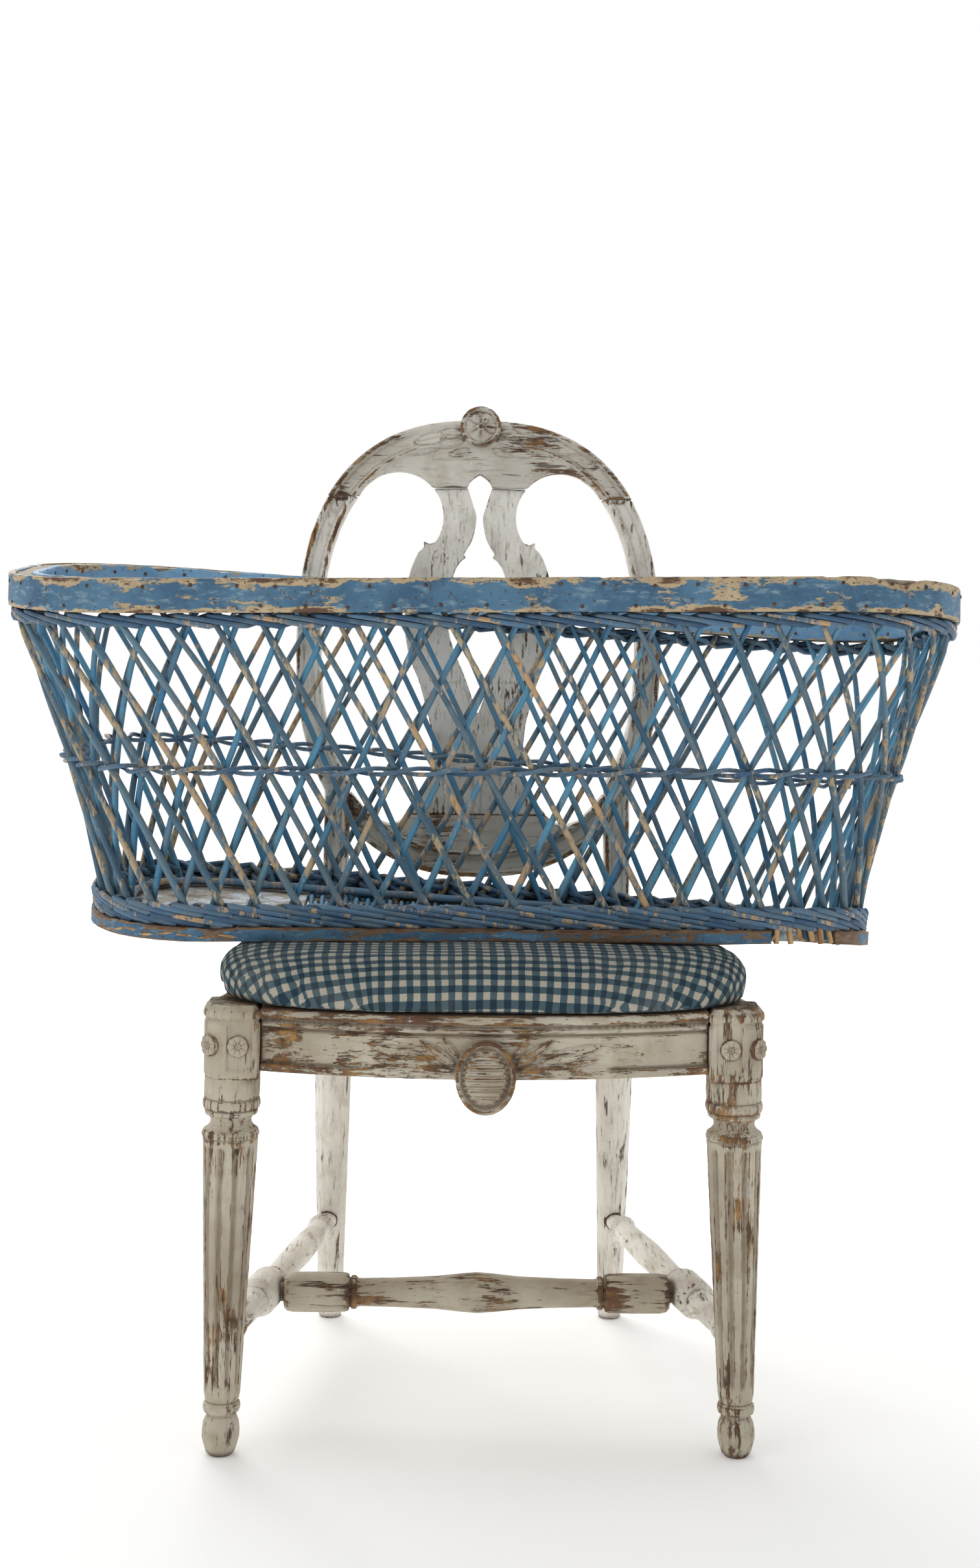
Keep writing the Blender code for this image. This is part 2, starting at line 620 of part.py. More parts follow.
# ---------------------------------------------------------------- bassinet
def rounded_rectangle(turn, half_length, half_width, radius):
    """A point of a rounded rectangle, `turn` once round it by length from the middle of the front."""
    along, across, bend = half_length - radius, half_width - radius, math.pi / 2 * radius
    pieces = [along, bend, 2 * across, bend, 2 * along, bend, 2 * across, bend, along]
    rest = (turn % 1.0) * sum(pieces)
    number = 0
    while number < 8 and rest > pieces[number]:
        rest -= pieces[number]
        number += 1
    corners = {1: (along, -across), 3: (along, across), 5: (-along, across), 7: (-along, -across)}
    if number in corners:
        angle = rest / radius + math.radians(90 * (number // 2) - 90)
        x, y = corners[number]
        return Vector((x + radius * math.cos(angle), y + radius * math.sin(angle)))
    starts = {0: (0.0, -half_width), 2: (half_length, -across), 4: (along, half_width),
              6: (-half_length, across), 8: (-along, -half_width)}
    x, y = starts[number]
    angle = math.radians(90 * (number // 2))
    return Vector((x + rest * math.cos(angle), y + rest * math.sin(angle)))


def share_of(z):
    return (z - WALL_FOOT) / (WALL_HEAD - WALL_FOOT)


def flare_of(share):
    return max(0.0, min(1.0, share / FLARE_REACH)) ** FLARE_POWER


def wall_plan(turn, share):
    """Middle of the wall from above, `turn` once round it and `share` of the way up."""
    foot_turn = turn + FOOT_SPREAD / (4 * math.pi) * math.sin(4 * math.pi * turn)
    return rounded_rectangle(foot_turn, *FOOT).lerp(rounded_rectangle(turn, *HEAD), flare_of(share))


def wall_point(turn, share, offset=0.0):
    """A point at the wall, `offset` outwards from its middle, and the direction outwards."""
    ahead, behind = wall_plan(turn + 0.002, share), wall_plan(turn - 0.002, share)
    along = (ahead - behind).normalized()
    out = Vector((along.y, -along.x, 0.0))
    at = wall_plan(turn, share)
    return Vector((at.x, at.y + BASKET_Y, WALL_FOOT + (WALL_HEAD - WALL_FOOT) * share)) + out * offset, out


def settled(point):
    """The point moved with the twist of the old basket: nothing at its front, most at its back."""
    half_width = FOOT[1] + (HEAD[1] - FOOT[1]) * flare_of(share_of(point[2]))
    back_share = 0.5 + (point[1] - BASKET_Y) / (2 * half_width)
    rise = RIM_RISE * point[0] * max(0.0, share_of(point[2]))
    return (point[0], point[1], point[2] + rise + back_share * (TWIST_MEAN + TWIST_RATE * point[0]))


def ring_turns():
    """Places round the wall for a hoop: close together at the corners."""
    quarter = [0.122 + 0.0135 * i for i in range(9)] + [0.25]
    half = quarter + [0.5 - turn for turn in reversed(quarter[:-1])] + [0.5]
    return half + [turn + 0.5 for turn in half]


def make_hoop(name, profile, material, smooth=None):
    """A hoop round the basket; its profile lists offset from the middle of the wall, and height."""
    sections = []
    for turn in ring_turns():
        sections.append([settled(wall_point(turn, share_of(z), offset)[0]) for offset, z in profile])
    return loft(name, sections, material, smooth, closed=True)


def band_profile(inner, outer, low, high):
    return [(inner, low), (outer, low), (outer, high), (inner, high)]


def rod_profile(offset, z, radius, sides=6):
    return [(offset + a, z + b) for a, b in circle(sides, radius, 0.5)]


def stake_radius(share):
    return STAKE_RADIUS[0] + (STAKE_RADIUS[1] - STAKE_RADIUS[0]) * max(0.0, min(1.0, share))


def binding_turns(first, last):
    """Places along a panel's binding rod, from just before its first stake to just after its last."""
    start, end = (first - 0.38) / STAKES, (last + 0.38) / STAKES
    places = [turn - lap for lap in (1, 0) for turn in ring_turns()]
    return [start] + sorted(turn for turn in places if start + 0.003 < turn < end - 0.003) + [end]


def make_stakes(layer_name, lean, layer, material):
    """One layer of leaning willow stakes, in six panels, each bound by a rod woven round it half way up."""
    half_way = (WALL_FOOT + WALL_HEAD) / 2
    foot, head = share_of(FLOOR_BOTTOM), share_of(RIM_TOP - 0.0045)
    stretch = math.sqrt(1 + (lean * 0.041 / (WALL_HEAD - WALL_FOOT)) ** 2)
    offset = layer * (2 * stake_radius(0.5) + LAYER_SPACE + 0.2 * MIDDLE_RING)
    profile = rod_profile(offset, half_way, MIDDLE_RING, 4)
    for panel, first, last in PANELS:
        shape = bmesh.new()
        for number in range(first, last + 1):
            sections = []
            for share in (foot, 0.03, 0.27, 0.5, 0.76, FLARE_REACH, head):
                radius = stake_radius(share)
                turn = (number + lean * (share - 0.5)) / STAKES
                point, out = wall_point(turn, share, layer * (radius + LAYER_SPACE))
                along = Vector((-out.y, out.x, 0.0)) * stretch
                sections.append([settled(point + out * a + along * b) for a, b in circle(4, radius * 1.15, 0.5)])
            add_loft(shape, sections)
        stakes = add_object(f"{layer_name}_{panel}", shape, material, 60)
        rings = []
        for turn in binding_turns(first, last):
            rings.append([settled(wall_point(turn, share_of(z), a)[0]) for a, z in profile])
        combine(stakes, loft(f"{layer_name}_{panel}_binding", rings, material, 60), "UNION")


def make_floor(painted, wicker):
    """The basket's floor: a board at each end, and between them weaving on lengthwise sticks."""
    def place(x, y, z):
        return settled((x, y, z))

    width = FOOT[1] - FLOOR_INSET
    near, far = BASKET_Y - width, BASKET_Y + width
    right_side = [turn for turn in ring_turns() if 0.1 < turn < 0.4]
    curve = [wall_point(turn, 0.0, -FLOOR_INSET)[0] for turn in right_side]
    for side, sign, edge in (("left", -1, -BOARD_EDGES[0]), ("right", 1, BOARD_EDGES[1])):
        outline = [(edge + GAP, near)] + [(p.x, p.y) for p in curve] + [(edge + GAP, far)]
        prism(f"base_board_{side}", [(sign * x, y) for x, y in outline], FLOOR_BOTTOM, FLOOR_TOP,
              painted, place)
    low_x, high_x = BOARD_EDGES[0] + GAP, BOARD_EDGES[1] - GAP
    slices = []
    for i in range(7):
        x = low_x + (high_x - low_x) * i / 6
        slices.append([place(x, y, z) for y, z in ((near, FLOOR_BOTTOM), (far, FLOOR_BOTTOM),
                                                   (far, FLOOR_TOP), (near, FLOOR_TOP))])
    weave = loft("base_weave", slices, wicker)
    middle_z = (FLOOR_BOTTOM + FLOOR_TOP) / 2

    def stick(name, y, radius, spare):
        sections = []
        for i in range(7):
            x = low_x - spare + (high_x - low_x + 2 * spare) * i / 6
            sections.append([place(x, BASKET_Y + y + a, middle_z + b) for a, b in circle(6, radius)])
        return loft(name, sections, wicker, 60)

    for number in range(5):
        y = STICK_SPACING * (number - 2)
        stick(f"base_stick_{number + 1}", y, 0.0022, 0.0)
        combine(weave, stick(f"stick_channel_{number + 1}", y, 0.0026, 0.01))


def make_bassinet(painted, wicker):
    outer = HOOP_GAP + HOOP_THICKNESS
    low, high = WALL_HEAD, RIM_TOP
    make_hoop("rim_outer_hoop", band_profile(HOOP_GAP, outer, low, high), painted)
    make_hoop("rim_inner_hoop", band_profile(-outer, -HOOP_GAP, low, high), painted)
    make_hoop("rim_filler", band_profile(-HOOP_GAP + GAP, HOOP_GAP - GAP, high - 0.004, high - 0.001), painted)
    low = WALL_HEAD - 0.0125
    make_hoop("top_waling_outer", band_profile(0.0088, 0.0133, low, WALL_HEAD - GAP), wicker)
    make_hoop("top_waling_inner", band_profile(-0.0145, -0.0100, low, WALL_HEAD - GAP), wicker)
    make_hoop("bottom_waling_outer", band_profile(0.0103, 0.0148, 0.456, 0.472), wicker)
    make_hoop("bottom_waling_inner", band_profile(-0.0160, -0.0112, 0.458, 0.472), wicker)
    make_hoop("base_hoop", band_profile(0.0103, 0.0150, BASE_Z, BASE_Z + 0.0125), painted)
    make_stakes("outer_stakes", OUTER_LEAN, 1, wicker)
    make_stakes("inner_stakes", INNER_LEAN, -1, wicker)
    make_hoop("base_ring", rod_profile(-0.0205, FLOOR_TOP + 0.0052, 0.0038), wicker, 60)
    make_floor(painted, wicker)


def main():
    clear_scene()
    worn_wood = make_material("worn_white_wood", (0.58, 0.54, 0.46), 0.6)
    blue_wood = make_material("blue_painted_wood", (0.07, 0.15, 0.27), 0.55)
    blue_wicker = make_material("blue_wicker", (0.10, 0.19, 0.30), 0.6)
    raw_wood = make_material("raw_wood", (0.50, 0.36, 0.22), 0.7)
    jute = make_material("jute_webbing", (0.48, 0.38, 0.25), 0.9)
    gingham = make_material("gingham_cloth", (0.35, 0.45, 0.52), 0.9)

    for side, sign in (("left", -1), ("right", 1)):
        make_front_leg(side, sign, worn_wood)
        make_rear_leg(side, sign, worn_wood)
    make_seat_rails(worn_wood)
    make_stretchers(worn_wood)
    make_crest(worn_wood)
    make_splat(worn_wood)
    make_lower_rail(worn_wood)
    make_corner_blocks(raw_wood)
    make_group("seat_origin", SEAT_TOP, make_seat, raw_wood, jute, gingham)
    make_group("bassinet_origin", BASE_Z, make_bassinet, blue_wood, blue_wicker)


main()
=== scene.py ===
"""Looks for a painted wicker bassinet that rests on a carved, oval-backed side chair.

Metres, +Z up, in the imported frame. The front faces -Y and the bassinet lies along X.
"""
import math
import random

import bmesh
import bpy
from mathutils import Matrix, Vector, noise


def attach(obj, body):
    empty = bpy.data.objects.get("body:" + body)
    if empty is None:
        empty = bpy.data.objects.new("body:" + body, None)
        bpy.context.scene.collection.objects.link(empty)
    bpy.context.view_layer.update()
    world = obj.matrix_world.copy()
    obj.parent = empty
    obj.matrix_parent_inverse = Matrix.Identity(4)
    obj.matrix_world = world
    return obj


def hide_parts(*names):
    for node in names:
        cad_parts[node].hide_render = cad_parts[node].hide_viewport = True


noise.seed_set(7)
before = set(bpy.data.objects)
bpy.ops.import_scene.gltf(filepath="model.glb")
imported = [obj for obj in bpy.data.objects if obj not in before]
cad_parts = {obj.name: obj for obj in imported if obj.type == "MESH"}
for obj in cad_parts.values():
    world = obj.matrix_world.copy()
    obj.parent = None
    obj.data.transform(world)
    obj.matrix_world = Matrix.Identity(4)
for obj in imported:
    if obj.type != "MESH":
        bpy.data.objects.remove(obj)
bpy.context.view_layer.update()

# The bassinet's wall, as the frame has it.
BASKET_Y = -0.022
FLOOR_BOTTOM, FLOOR_TOP = 0.4445, 0.4535
BASE_Z = 0.442
WALL_FOOT, WALL_HEAD, RIM_TOP = 0.4543, 0.742, 0.7725
FOOT = (0.353, 0.126, 0.104)
HEAD = (0.4305, 0.183, 0.134)
FLARE_POWER, FLARE_REACH, FOOT_SPREAD = 1.35, 0.94, 0.26
STAKES = 54
STAKE_RADIUS = (0.0034, 0.0026)     # at foot and head
LAYER_SPACE = 0.0006
OUTER_LEAN, INNER_LEAN = -4.0, 3.4
TWIST_MEAN, TWIST_RATE, RIM_RISE = -0.014, -0.070, 0.013
HOOP_GAP, HOOP_THICKNESS = 0.0074, 0.0066
HOOP_OUTSIDE = HOOP_GAP + HOOP_THICKNESS
OUTSIDE_SHARE = 0.68    # how much of its way a waling rod passes outside the stakes
BOARD_EDGES = (-0.170, 0.220)
STICK_SPACING, WEAVE_SPACING = 0.045, 0.0056

# The chair, as the frame has it.
SEAT_TOP, RAIL_BOTTOM = 0.396, 0.340
LEG_X, LEG_Y, BLOCK_HALF, BLOCK_BOTTOM, FOOT_SPLAY = 0.221, -0.210, 0.025, 0.333, 0.0065
BLOCK_OUTER_RADIUS, BLOCK_INNER_RADIUS = 0.021, 0.004
FACE_INSET, FRONT_BOW = 0.004, 0.030
REAR_X, REAR_Y, REAR_FOOT_Y, REAR_HALF_DEPTH, REAR_FACE = 0.1455, 0.155, 0.177, 0.016, 0.015
RAKE = math.tan(math.radians(10.1))
OVAL_Z, OVAL_HALF_WIDTH, OVAL_UP, OVAL_DOWN, OVAL_BAND = 0.697, 0.192, 0.240, 0.237, 0.0265
OVAL_POWERS = (2.5, 2.3)
STRETCHER_Z, CROSS_SHARE = 0.104, 0.33
MEDALLION_Z, MEDALLION_RADIUS = 0.931, 0.0213
BACK_HALF_DEPTH, SPLAT_HALF_DEPTH = 0.013, 0.007
LOBE_CENTRE, LOBE_RADIUS = (0.086, 0.8335), 0.0475      # round head of each opening in the back
NOTCH_HALF_WIDTH, CREST_JOINT_Z = 0.013, 0.8546
RAIL_MEDALLION_Z, RAIL_MEDALLION_WIDTH, RAIL_MEDALLION_HEIGHT = 0.343, 0.026, 0.032
FLUTES = 10


# ---------------------------------------------------------------- mesh helpers
def closed_mesh(name, points, faces):
    """A mesh whose faces point outwards."""
    mesh = bpy.data.meshes.new(name)
    mesh.from_pydata([tuple(point) for point in points], [], faces)
    shape = bmesh.new()
    shape.from_mesh(mesh)
    bmesh.ops.recalc_face_normals(shape, faces=shape.faces)
    shape.to_mesh(mesh)
    shape.free()
    return mesh


def evaluated(piece):
    """A copy of the piece's mesh with its modifiers applied."""
    return bpy.data.meshes.new_from_object(piece.evaluated_get(bpy.context.evaluated_depsgraph_get()))


class Shape:
    """Points and faces of one piece, each point with a seed and a place along for its material."""

    def __init__(self):
        self.points, self.faces, self.marks = [], [], []

    def loft(self, rings, seed=0.0, closed=False):
        """Joins rings of equal count; closed joins the last ring to the first."""
        first, count = len(self.points), len(rings[0])
        for number, ring in enumerate(rings):
            self.points += [Vector(point) for point in ring]
            along = number / max(1, len(rings) - 1)
            self.marks += [(seed, along, i / count) for i in range(count)]
        spans = len(rings) if closed else len(rings) - 1
        for number in range(spans):
            low, high = first + number * count, first + (number + 1) % len(rings) * count
            for i in range(count):
                j = (i + 1) % count
                self.faces.append((low + i, low + j, high + j, high + i))
        if not closed:
            self.faces.append(tuple(first + i for i in reversed(range(count))))
            last = first + (len(rings) - 1) * count
            self.faces.append(tuple(last + i for i in range(count)))

    def tube(self, path, radius, sides=8, seed=0.0, closed=False):
        """A rod along a path; radius is a number or a function of the share of the way."""
        rings, reference = [], Vector((0.0, 0.0, 1.0))
        count = len(path)
        for i, point in enumerate(path):
            before = path[(i - 1) % count] if closed else path[max(0, i - 1)]
            after = path[(i + 1) % count] if closed else path[min(count - 1, i + 1)]
            along = (after - before).normalized()
            side = along.cross(reference)
            if side.length < 0.2:
                side = along.cross(Vector((0.3, 1.0, 0.0)))
            side.normalize()
            up = side.cross(along)
            size = radius(i / max(1, count - 1)) if callable(radius) else radius
            ring = []
            for k in range(sides):
                angle = 2 * math.pi * k / sides
                ring.append(point + side * (size * math.cos(angle)) + up * (size * math.sin(angle)))
            rings.append(ring)
        self.loft(rings, seed, closed)

    def build(self, name, material, body, replaces=(), sharp=50):
        mesh = closed_mesh(name, self.points, self.faces)
        marks = mesh.attributes.new("mark", "FLOAT_VECTOR", "POINT")
        marks.data.foreach_set("vector", [value for mark in self.marks for value in mark])
        return finish_piece(name, mesh, material, body, replaces, sharp)


def finish_piece(name, mesh, material, body, replaces=(), sharp=50):
    mesh.materials.clear()
    mesh.materials.append(material)
    mesh.shade_smooth()
    mesh.set_sharp_from_angle(angle=math.radians(sharp))
    piece = bpy.data.objects.new(name, mesh)
    bpy.context.scene.collection.objects.link(piece)
    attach(piece, body)
    if replaces:
        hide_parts(*replaces)
    return piece


def refined(node, name, material, body, voxel, relief, smooth=4, outline=None):
    """The outline, or else the CAD node's shape, remeshed finely, softened, and carved.

    relief(point, normal) says how far each point moves.
    """
    piece = bpy.data.objects.new(name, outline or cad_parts[node].data.copy())
    bpy.context.scene.collection.objects.link(piece)
    remesh = piece.modifiers.new("Remesh", "REMESH")
    remesh.mode = "VOXEL"
    remesh.voxel_size = voxel
    soften = piece.modifiers.new("Smooth", "SMOOTH")
    soften.factor = 0.5
    soften.iterations = smooth
    mesh = evaluated(piece)
    bpy.data.objects.remove(piece)
    mesh.name = name
    normals = [Vector(vertex.normal) for vertex in mesh.vertices]
    for vertex, normal in zip(mesh.vertices, normals):
        vertex.co += relief(vertex.co.copy(), normal)
    return finish_piece(name, mesh, material, body, (node,), 80)


def wobble(point, scale, seed=0.0):
    """A smooth pseudo-random vector that depends only on the place."""
    return noise.noise_vector(Vector(point) * scale + Vector((seed, seed * 1.7, -seed)))


# ---------------------------------------------------------------- materials
class Nodes:
    """Short calls that add shader nodes to one material."""

    def __init__(self, name, roughness=0.6):
        self.material = bpy.data.materials.new(name)
        self.material.use_nodes = True
        self.tree = self.material.node_tree
        self.shader = self.tree.nodes["Principled BSDF"]
        self.shader.inputs["Roughness"].default_value = roughness
        self.place = self.add("ShaderNodeTexCoord").outputs["Object"]

    def add(self, kind, inputs=(), **settings):
        node = self.tree.nodes.new(kind)
        for key, value in settings.items():
            setattr(node, key, value)
        for socket, value in dict(inputs).items():
            self.feed(node.inputs[socket], value)
        return node

    def feed(self, socket, value):
        if isinstance(value, bpy.types.NodeSocket):
            self.tree.links.new(value, socket)
        elif isinstance(value, (tuple, list)) and len(value) == 3 and socket.type == "RGBA":
            socket.default_value = (*value, 1.0)
        else:
            socket.default_value = value

    def mark(self, part):
        """Part 0 is a point's seed, 1 its place along, and 2 its place round."""
        vector = self.add("ShaderNodeAttribute", attribute_name="mark").outputs["Vector"]
        return self.add("ShaderNodeSeparateXYZ", {0: vector}).outputs[part]

    def math(self, operation, a, b=0.0, clamp=False):
        return self.add("ShaderNodeMath", {0: a, 1: b}, operation=operation, use_clamp=clamp).outputs[0]

    def weighted(self, *pairs):
        """The sum of each value times its weight."""
        terms = [self.math("MULTIPLY", value, weight) for value, weight in pairs]
        total = terms[0]
        for term in terms[1:]:
            total = self.math("ADD", total, term)
        return total

    def vector(self, operation, a, b):
        inputs = {0: a, ("Scale" if operation == "SCALE" else 1): b}
        return self.add("ShaderNodeVectorMath", inputs, operation=operation).outputs[0]

    def stretched(self, scale, place=None):
        return self.add("ShaderNodeMapping", {"Vector": place or self.place, "Scale": scale}).outputs[0]

    def noise(self, scale, detail=4.0, place=None, roughness=0.6):
        inputs = {"Vector": place or self.place, "Scale": scale, "Detail": detail, "Roughness": roughness}
        return self.add("ShaderNodeTexNoise", inputs).outputs["Fac"]

    def step(self, value, low, high):
        """0 below low, 1 above high, smooth between."""
        inputs = {"Value": value, "From Min": low, "From Max": high}
        return self.add("ShaderNodeMapRange", inputs, interpolation_type="SMOOTHSTEP").outputs[0]

    def mix(self, share, a, b):
        node = self.add("ShaderNodeMix", data_type="RGBA")
        self.feed(node.inputs[0], share)
        self.feed(node.inputs[6], a)
        self.feed(node.inputs[7], b)
        return node.outputs[2]

    def worn_edges(self, low, high):
        """Near 1 on outward edges, from the surface's own curvature."""
        return self.step(self.add("ShaderNodeNewGeometry").outputs["Pointiness"], low, high)

    def bump(self, height, distance, strength=1.0, normal=None):
        inputs = {"Height": height, "Distance": distance, "Strength": strength}
        if normal:
            inputs["Normal"] = normal
        return self.add("ShaderNodeBump", inputs).outputs[0]

    def grime_and_painted_shade(self, colour, dark, distance=0.008, amount=0.75):
        """Painted shade and dirt where surfaces meet or fold: an ambient-occlusion mask darkens the colour there."""
        node = self.add("ShaderNodeAmbientOcclusion", {"Distance": distance}, samples=6)
        hidden = self.step(node.outputs["AO"], 0.86, 0.30)
        return self.mix(self.math("MULTIPLY", hidden, amount), colour, dark)

    def finish(self, colour, roughness=None, normal=None):
        self.feed(self.shader.inputs["Base Color"], colour)
        if roughness is not None:
            self.feed(self.shader.inputs["Roughness"], roughness)
        if normal is not None:
            self.feed(self.shader.inputs["Normal"], normal)
        return self.material


def srgb(red, green, blue):
    """A colour given as 0 to 255 screen values, made linear."""
    return tuple((value / 255 / 12.92) if value < 10 else ((value / 255 + 0.055) / 1.055) ** 2.4
                 for value in (red, green, blue))


def chalk_paint(name, grain, wear=0.0, tones=(srgb(240, 236, 226), srgb(216, 211, 200))):
    """Old cream-grey chalk paint over brown wood: worn through in streaks along the grain and on edges."""
    n = Nodes(name)
    along = n.stretched(grain)
    cream = n.mix(n.step(n.noise(9.0, 3.0), 0.35, 0.68), *tones)
    streak = n.noise(260.0, 5.0, along, 0.7)
    cream = n.mix(n.step(streak, 0.50, 0.78), cream, srgb(150, 140, 124))
    stain = n.step(n.noise(34.0, 6.0, None, 0.7), 0.47, 0.68)
    cream = n.mix(n.math("MULTIPLY", stain, 0.30 + 4 * wear), cream, srgb(146, 128, 98))
    fine = n.noise(190.0, 7.0, along, 0.78)
    patches = n.noise(14.0, 4.0)
    edges = n.worn_edges(0.508, 0.56)
    amount = n.math("ADD", n.weighted((fine, 0.60), (patches, 0.40), (edges, 0.10)), wear)
    bare = n.step(amount, 0.580, 0.610)
    wood = n.mix(n.step(n.noise(45.0, 4.0), 0.40, 0.72), srgb(92, 62, 40), srgb(168, 124, 68))
    colour = n.mix(bare, cream, wood)
    cracks = n.step(n.noise(420.0, 3.0, n.stretched(tuple(value * 0.45 for value in grain))), 0.63, 0.70)
    colour = n.mix(n.math("MULTIPLY", cracks, 0.8), colour, srgb(66, 50, 36))
    hollows = n.step(n.add("ShaderNodeNewGeometry").outputs["Pointiness"], 0.494, 0.440)
    colour = n.mix(n.math("MULTIPLY", hollows, 0.60), colour, srgb(92, 70, 50))
    # Painted shade and dirt: darker brown where surfaces meet or fold, by ambient occlusion.
    colour = n.grime_and_painted_shade(colour, srgb(78, 56, 38), 0.010, 0.80)
    height = n.math("SUBTRACT", n.math("MULTIPLY", streak, 0.25), n.math("ADD", bare, cracks))
    return n.finish(colour, 0.72, n.bump(height, 0.0007, 0.8))


def rim_paint(name, bareness=0.0, bare=(srgb(196, 180, 146), srgb(158, 132, 98)),
              blues=(srgb(44, 84, 114), srgb(74, 116, 144))):
    """Blue paint on bentwood, chipped to a beige undercoat and here and there to dark wood."""
    n = Nodes(name)
    along = n.stretched((0.35, 0.35, 1.0))
    blue = n.mix(n.step(n.noise(16.0, 4.0), 0.3, 0.7), *blues)
    blue = n.mix(n.step(n.noise(230.0, 4.0, along), 0.50, 0.75), blue, srgb(124, 150, 162))
    chips = n.noise(95.0, 6.0, along, 0.72)
    areas = n.noise(11.0, 3.0)
    height = n.mark(2)
    edge = n.math("ADD", n.step(height, 0.62, 0.99), n.step(height, 0.22, 0.01), clamp=True)
    amount = n.math("ADD", n.weighted((chips, 0.6), (areas, 0.4), (edge, 0.115)), bareness)
    beige = n.step(amount, 0.553, 0.580)
    under = n.mix(n.noise(60.0, 4.0), *bare)
    colour = n.mix(beige, blue, under)
    deep = n.step(amount, 0.625, 0.665)
    colour = n.mix(deep, colour, srgb(92, 64, 44))
    specks = n.step(n.noise(240.0, 4.0, None, 0.7), 0.615, 0.65)
    # Dark specks of dirt, then painted shade and dirt where surfaces meet or fold, by ambient occlusion.
    colour = n.grime_and_painted_shade(n.mix(specks, colour, srgb(70, 56, 48)), srgb(44, 40, 40), 0.006, 0.8)
    relief = n.math("SUBTRACT", n.math("MULTIPLY", n.noise(300.0, 3.0, along), 0.2), beige)
    return n.finish(colour, 0.62, n.bump(relief, 0.0005, 0.6))


def wicker_paint(name, wear=0.0, blues=(srgb(44, 78, 100), srgb(94, 128, 144))):
    """Blue paint on willow, each rod a little different, rubbed to beige and tan along its length."""
    n = Nodes(name)
    seed = n.mark(0)
    rod, other = [n.add("ShaderNodeTexWhiteNoise", {"W": value}, noise_dimensions="1D").outputs["Value"]
                  for value in (seed, n.math("ADD", seed, 7.3))]
    shift = n.vector("ADD", n.place, n.add("ShaderNodeCombineXYZ", {0: seed}).outputs[0])
    blue = n.mix(rod, *blues)
    blue = n.mix(n.step(n.noise(30.0, 3.0, shift), 0.40, 0.7), blue, srgb(92, 112, 124))
    streak = n.noise(210.0, 5.0, n.stretched((1.0, 1.0, 0.22), shift), 0.7)
    patch = n.noise(24.0, 4.0, shift)
    amount = n.math("ADD", n.weighted((streak, 0.5), (patch, 0.5), (n.math("SUBTRACT", other, 0.5), 0.11)), wear)
    beige = n.step(amount, 0.538, 0.585)
    colour = n.mix(beige, blue, n.mix(rod, srgb(172, 158, 128), srgb(186, 150, 108)))
    colour = n.mix(n.step(amount, 0.66, 0.70), colour, srgb(132, 96, 64))
    dirt = n.step(n.noise(160.0, 3.0, shift), 0.62, 0.75)
    colour = n.mix(n.math("MULTIPLY", dirt, 0.5), colour, srgb(44, 54, 64))
    # Painted shade and dirt: blue-black between the rods and where they meet, by ambient occlusion.
    colour = n.grime_and_painted_shade(colour, srgb(24, 32, 40), 0.007, 0.85)
    height = n.weighted((streak, 0.6), (beige, -0.5))
    return n.finish(colour, 0.6, n.bump(height, 0.0005, 0.6))


def bare_wood(name, light, dark, grain=(0.15, 1.0, 1.0)):
    n = Nodes(name)
    rings = n.noise(90.0, 6.0, n.stretched(grain), 0.65)
    colour = n.mix(n.step(rings, 0.3, 0.7), light, dark)
    return n.finish(colour, 0.75, n.bump(rings, 0.0004, 0.5))


def woven_jute(name):
    n = Nodes(name, 0.9)
    weave = n.add("ShaderNodeTexChecker", {"Vector": n.place, "Scale": 700.0}).outputs["Fac"]
    colour = n.mix(n.math("MULTIPLY", weave, 0.6), srgb(176, 148, 106), srgb(138, 110, 74))
    return n.finish(colour, 0.95, n.bump(weave, 0.0004, 0.8))


def rusty_iron(name):
    n = Nodes(name)
    rust = n.noise(500.0, 4.0)
    colour = n.mix(n.step(rust, 0.4, 0.65), srgb(58, 42, 36), srgb(112, 70, 46))
    return n.finish(colour, 0.8, n.bump(rust, 0.0003, 0.6))


GINGHAM_REPEAT, THREAD_REPEAT = 0.0122, 0.0011


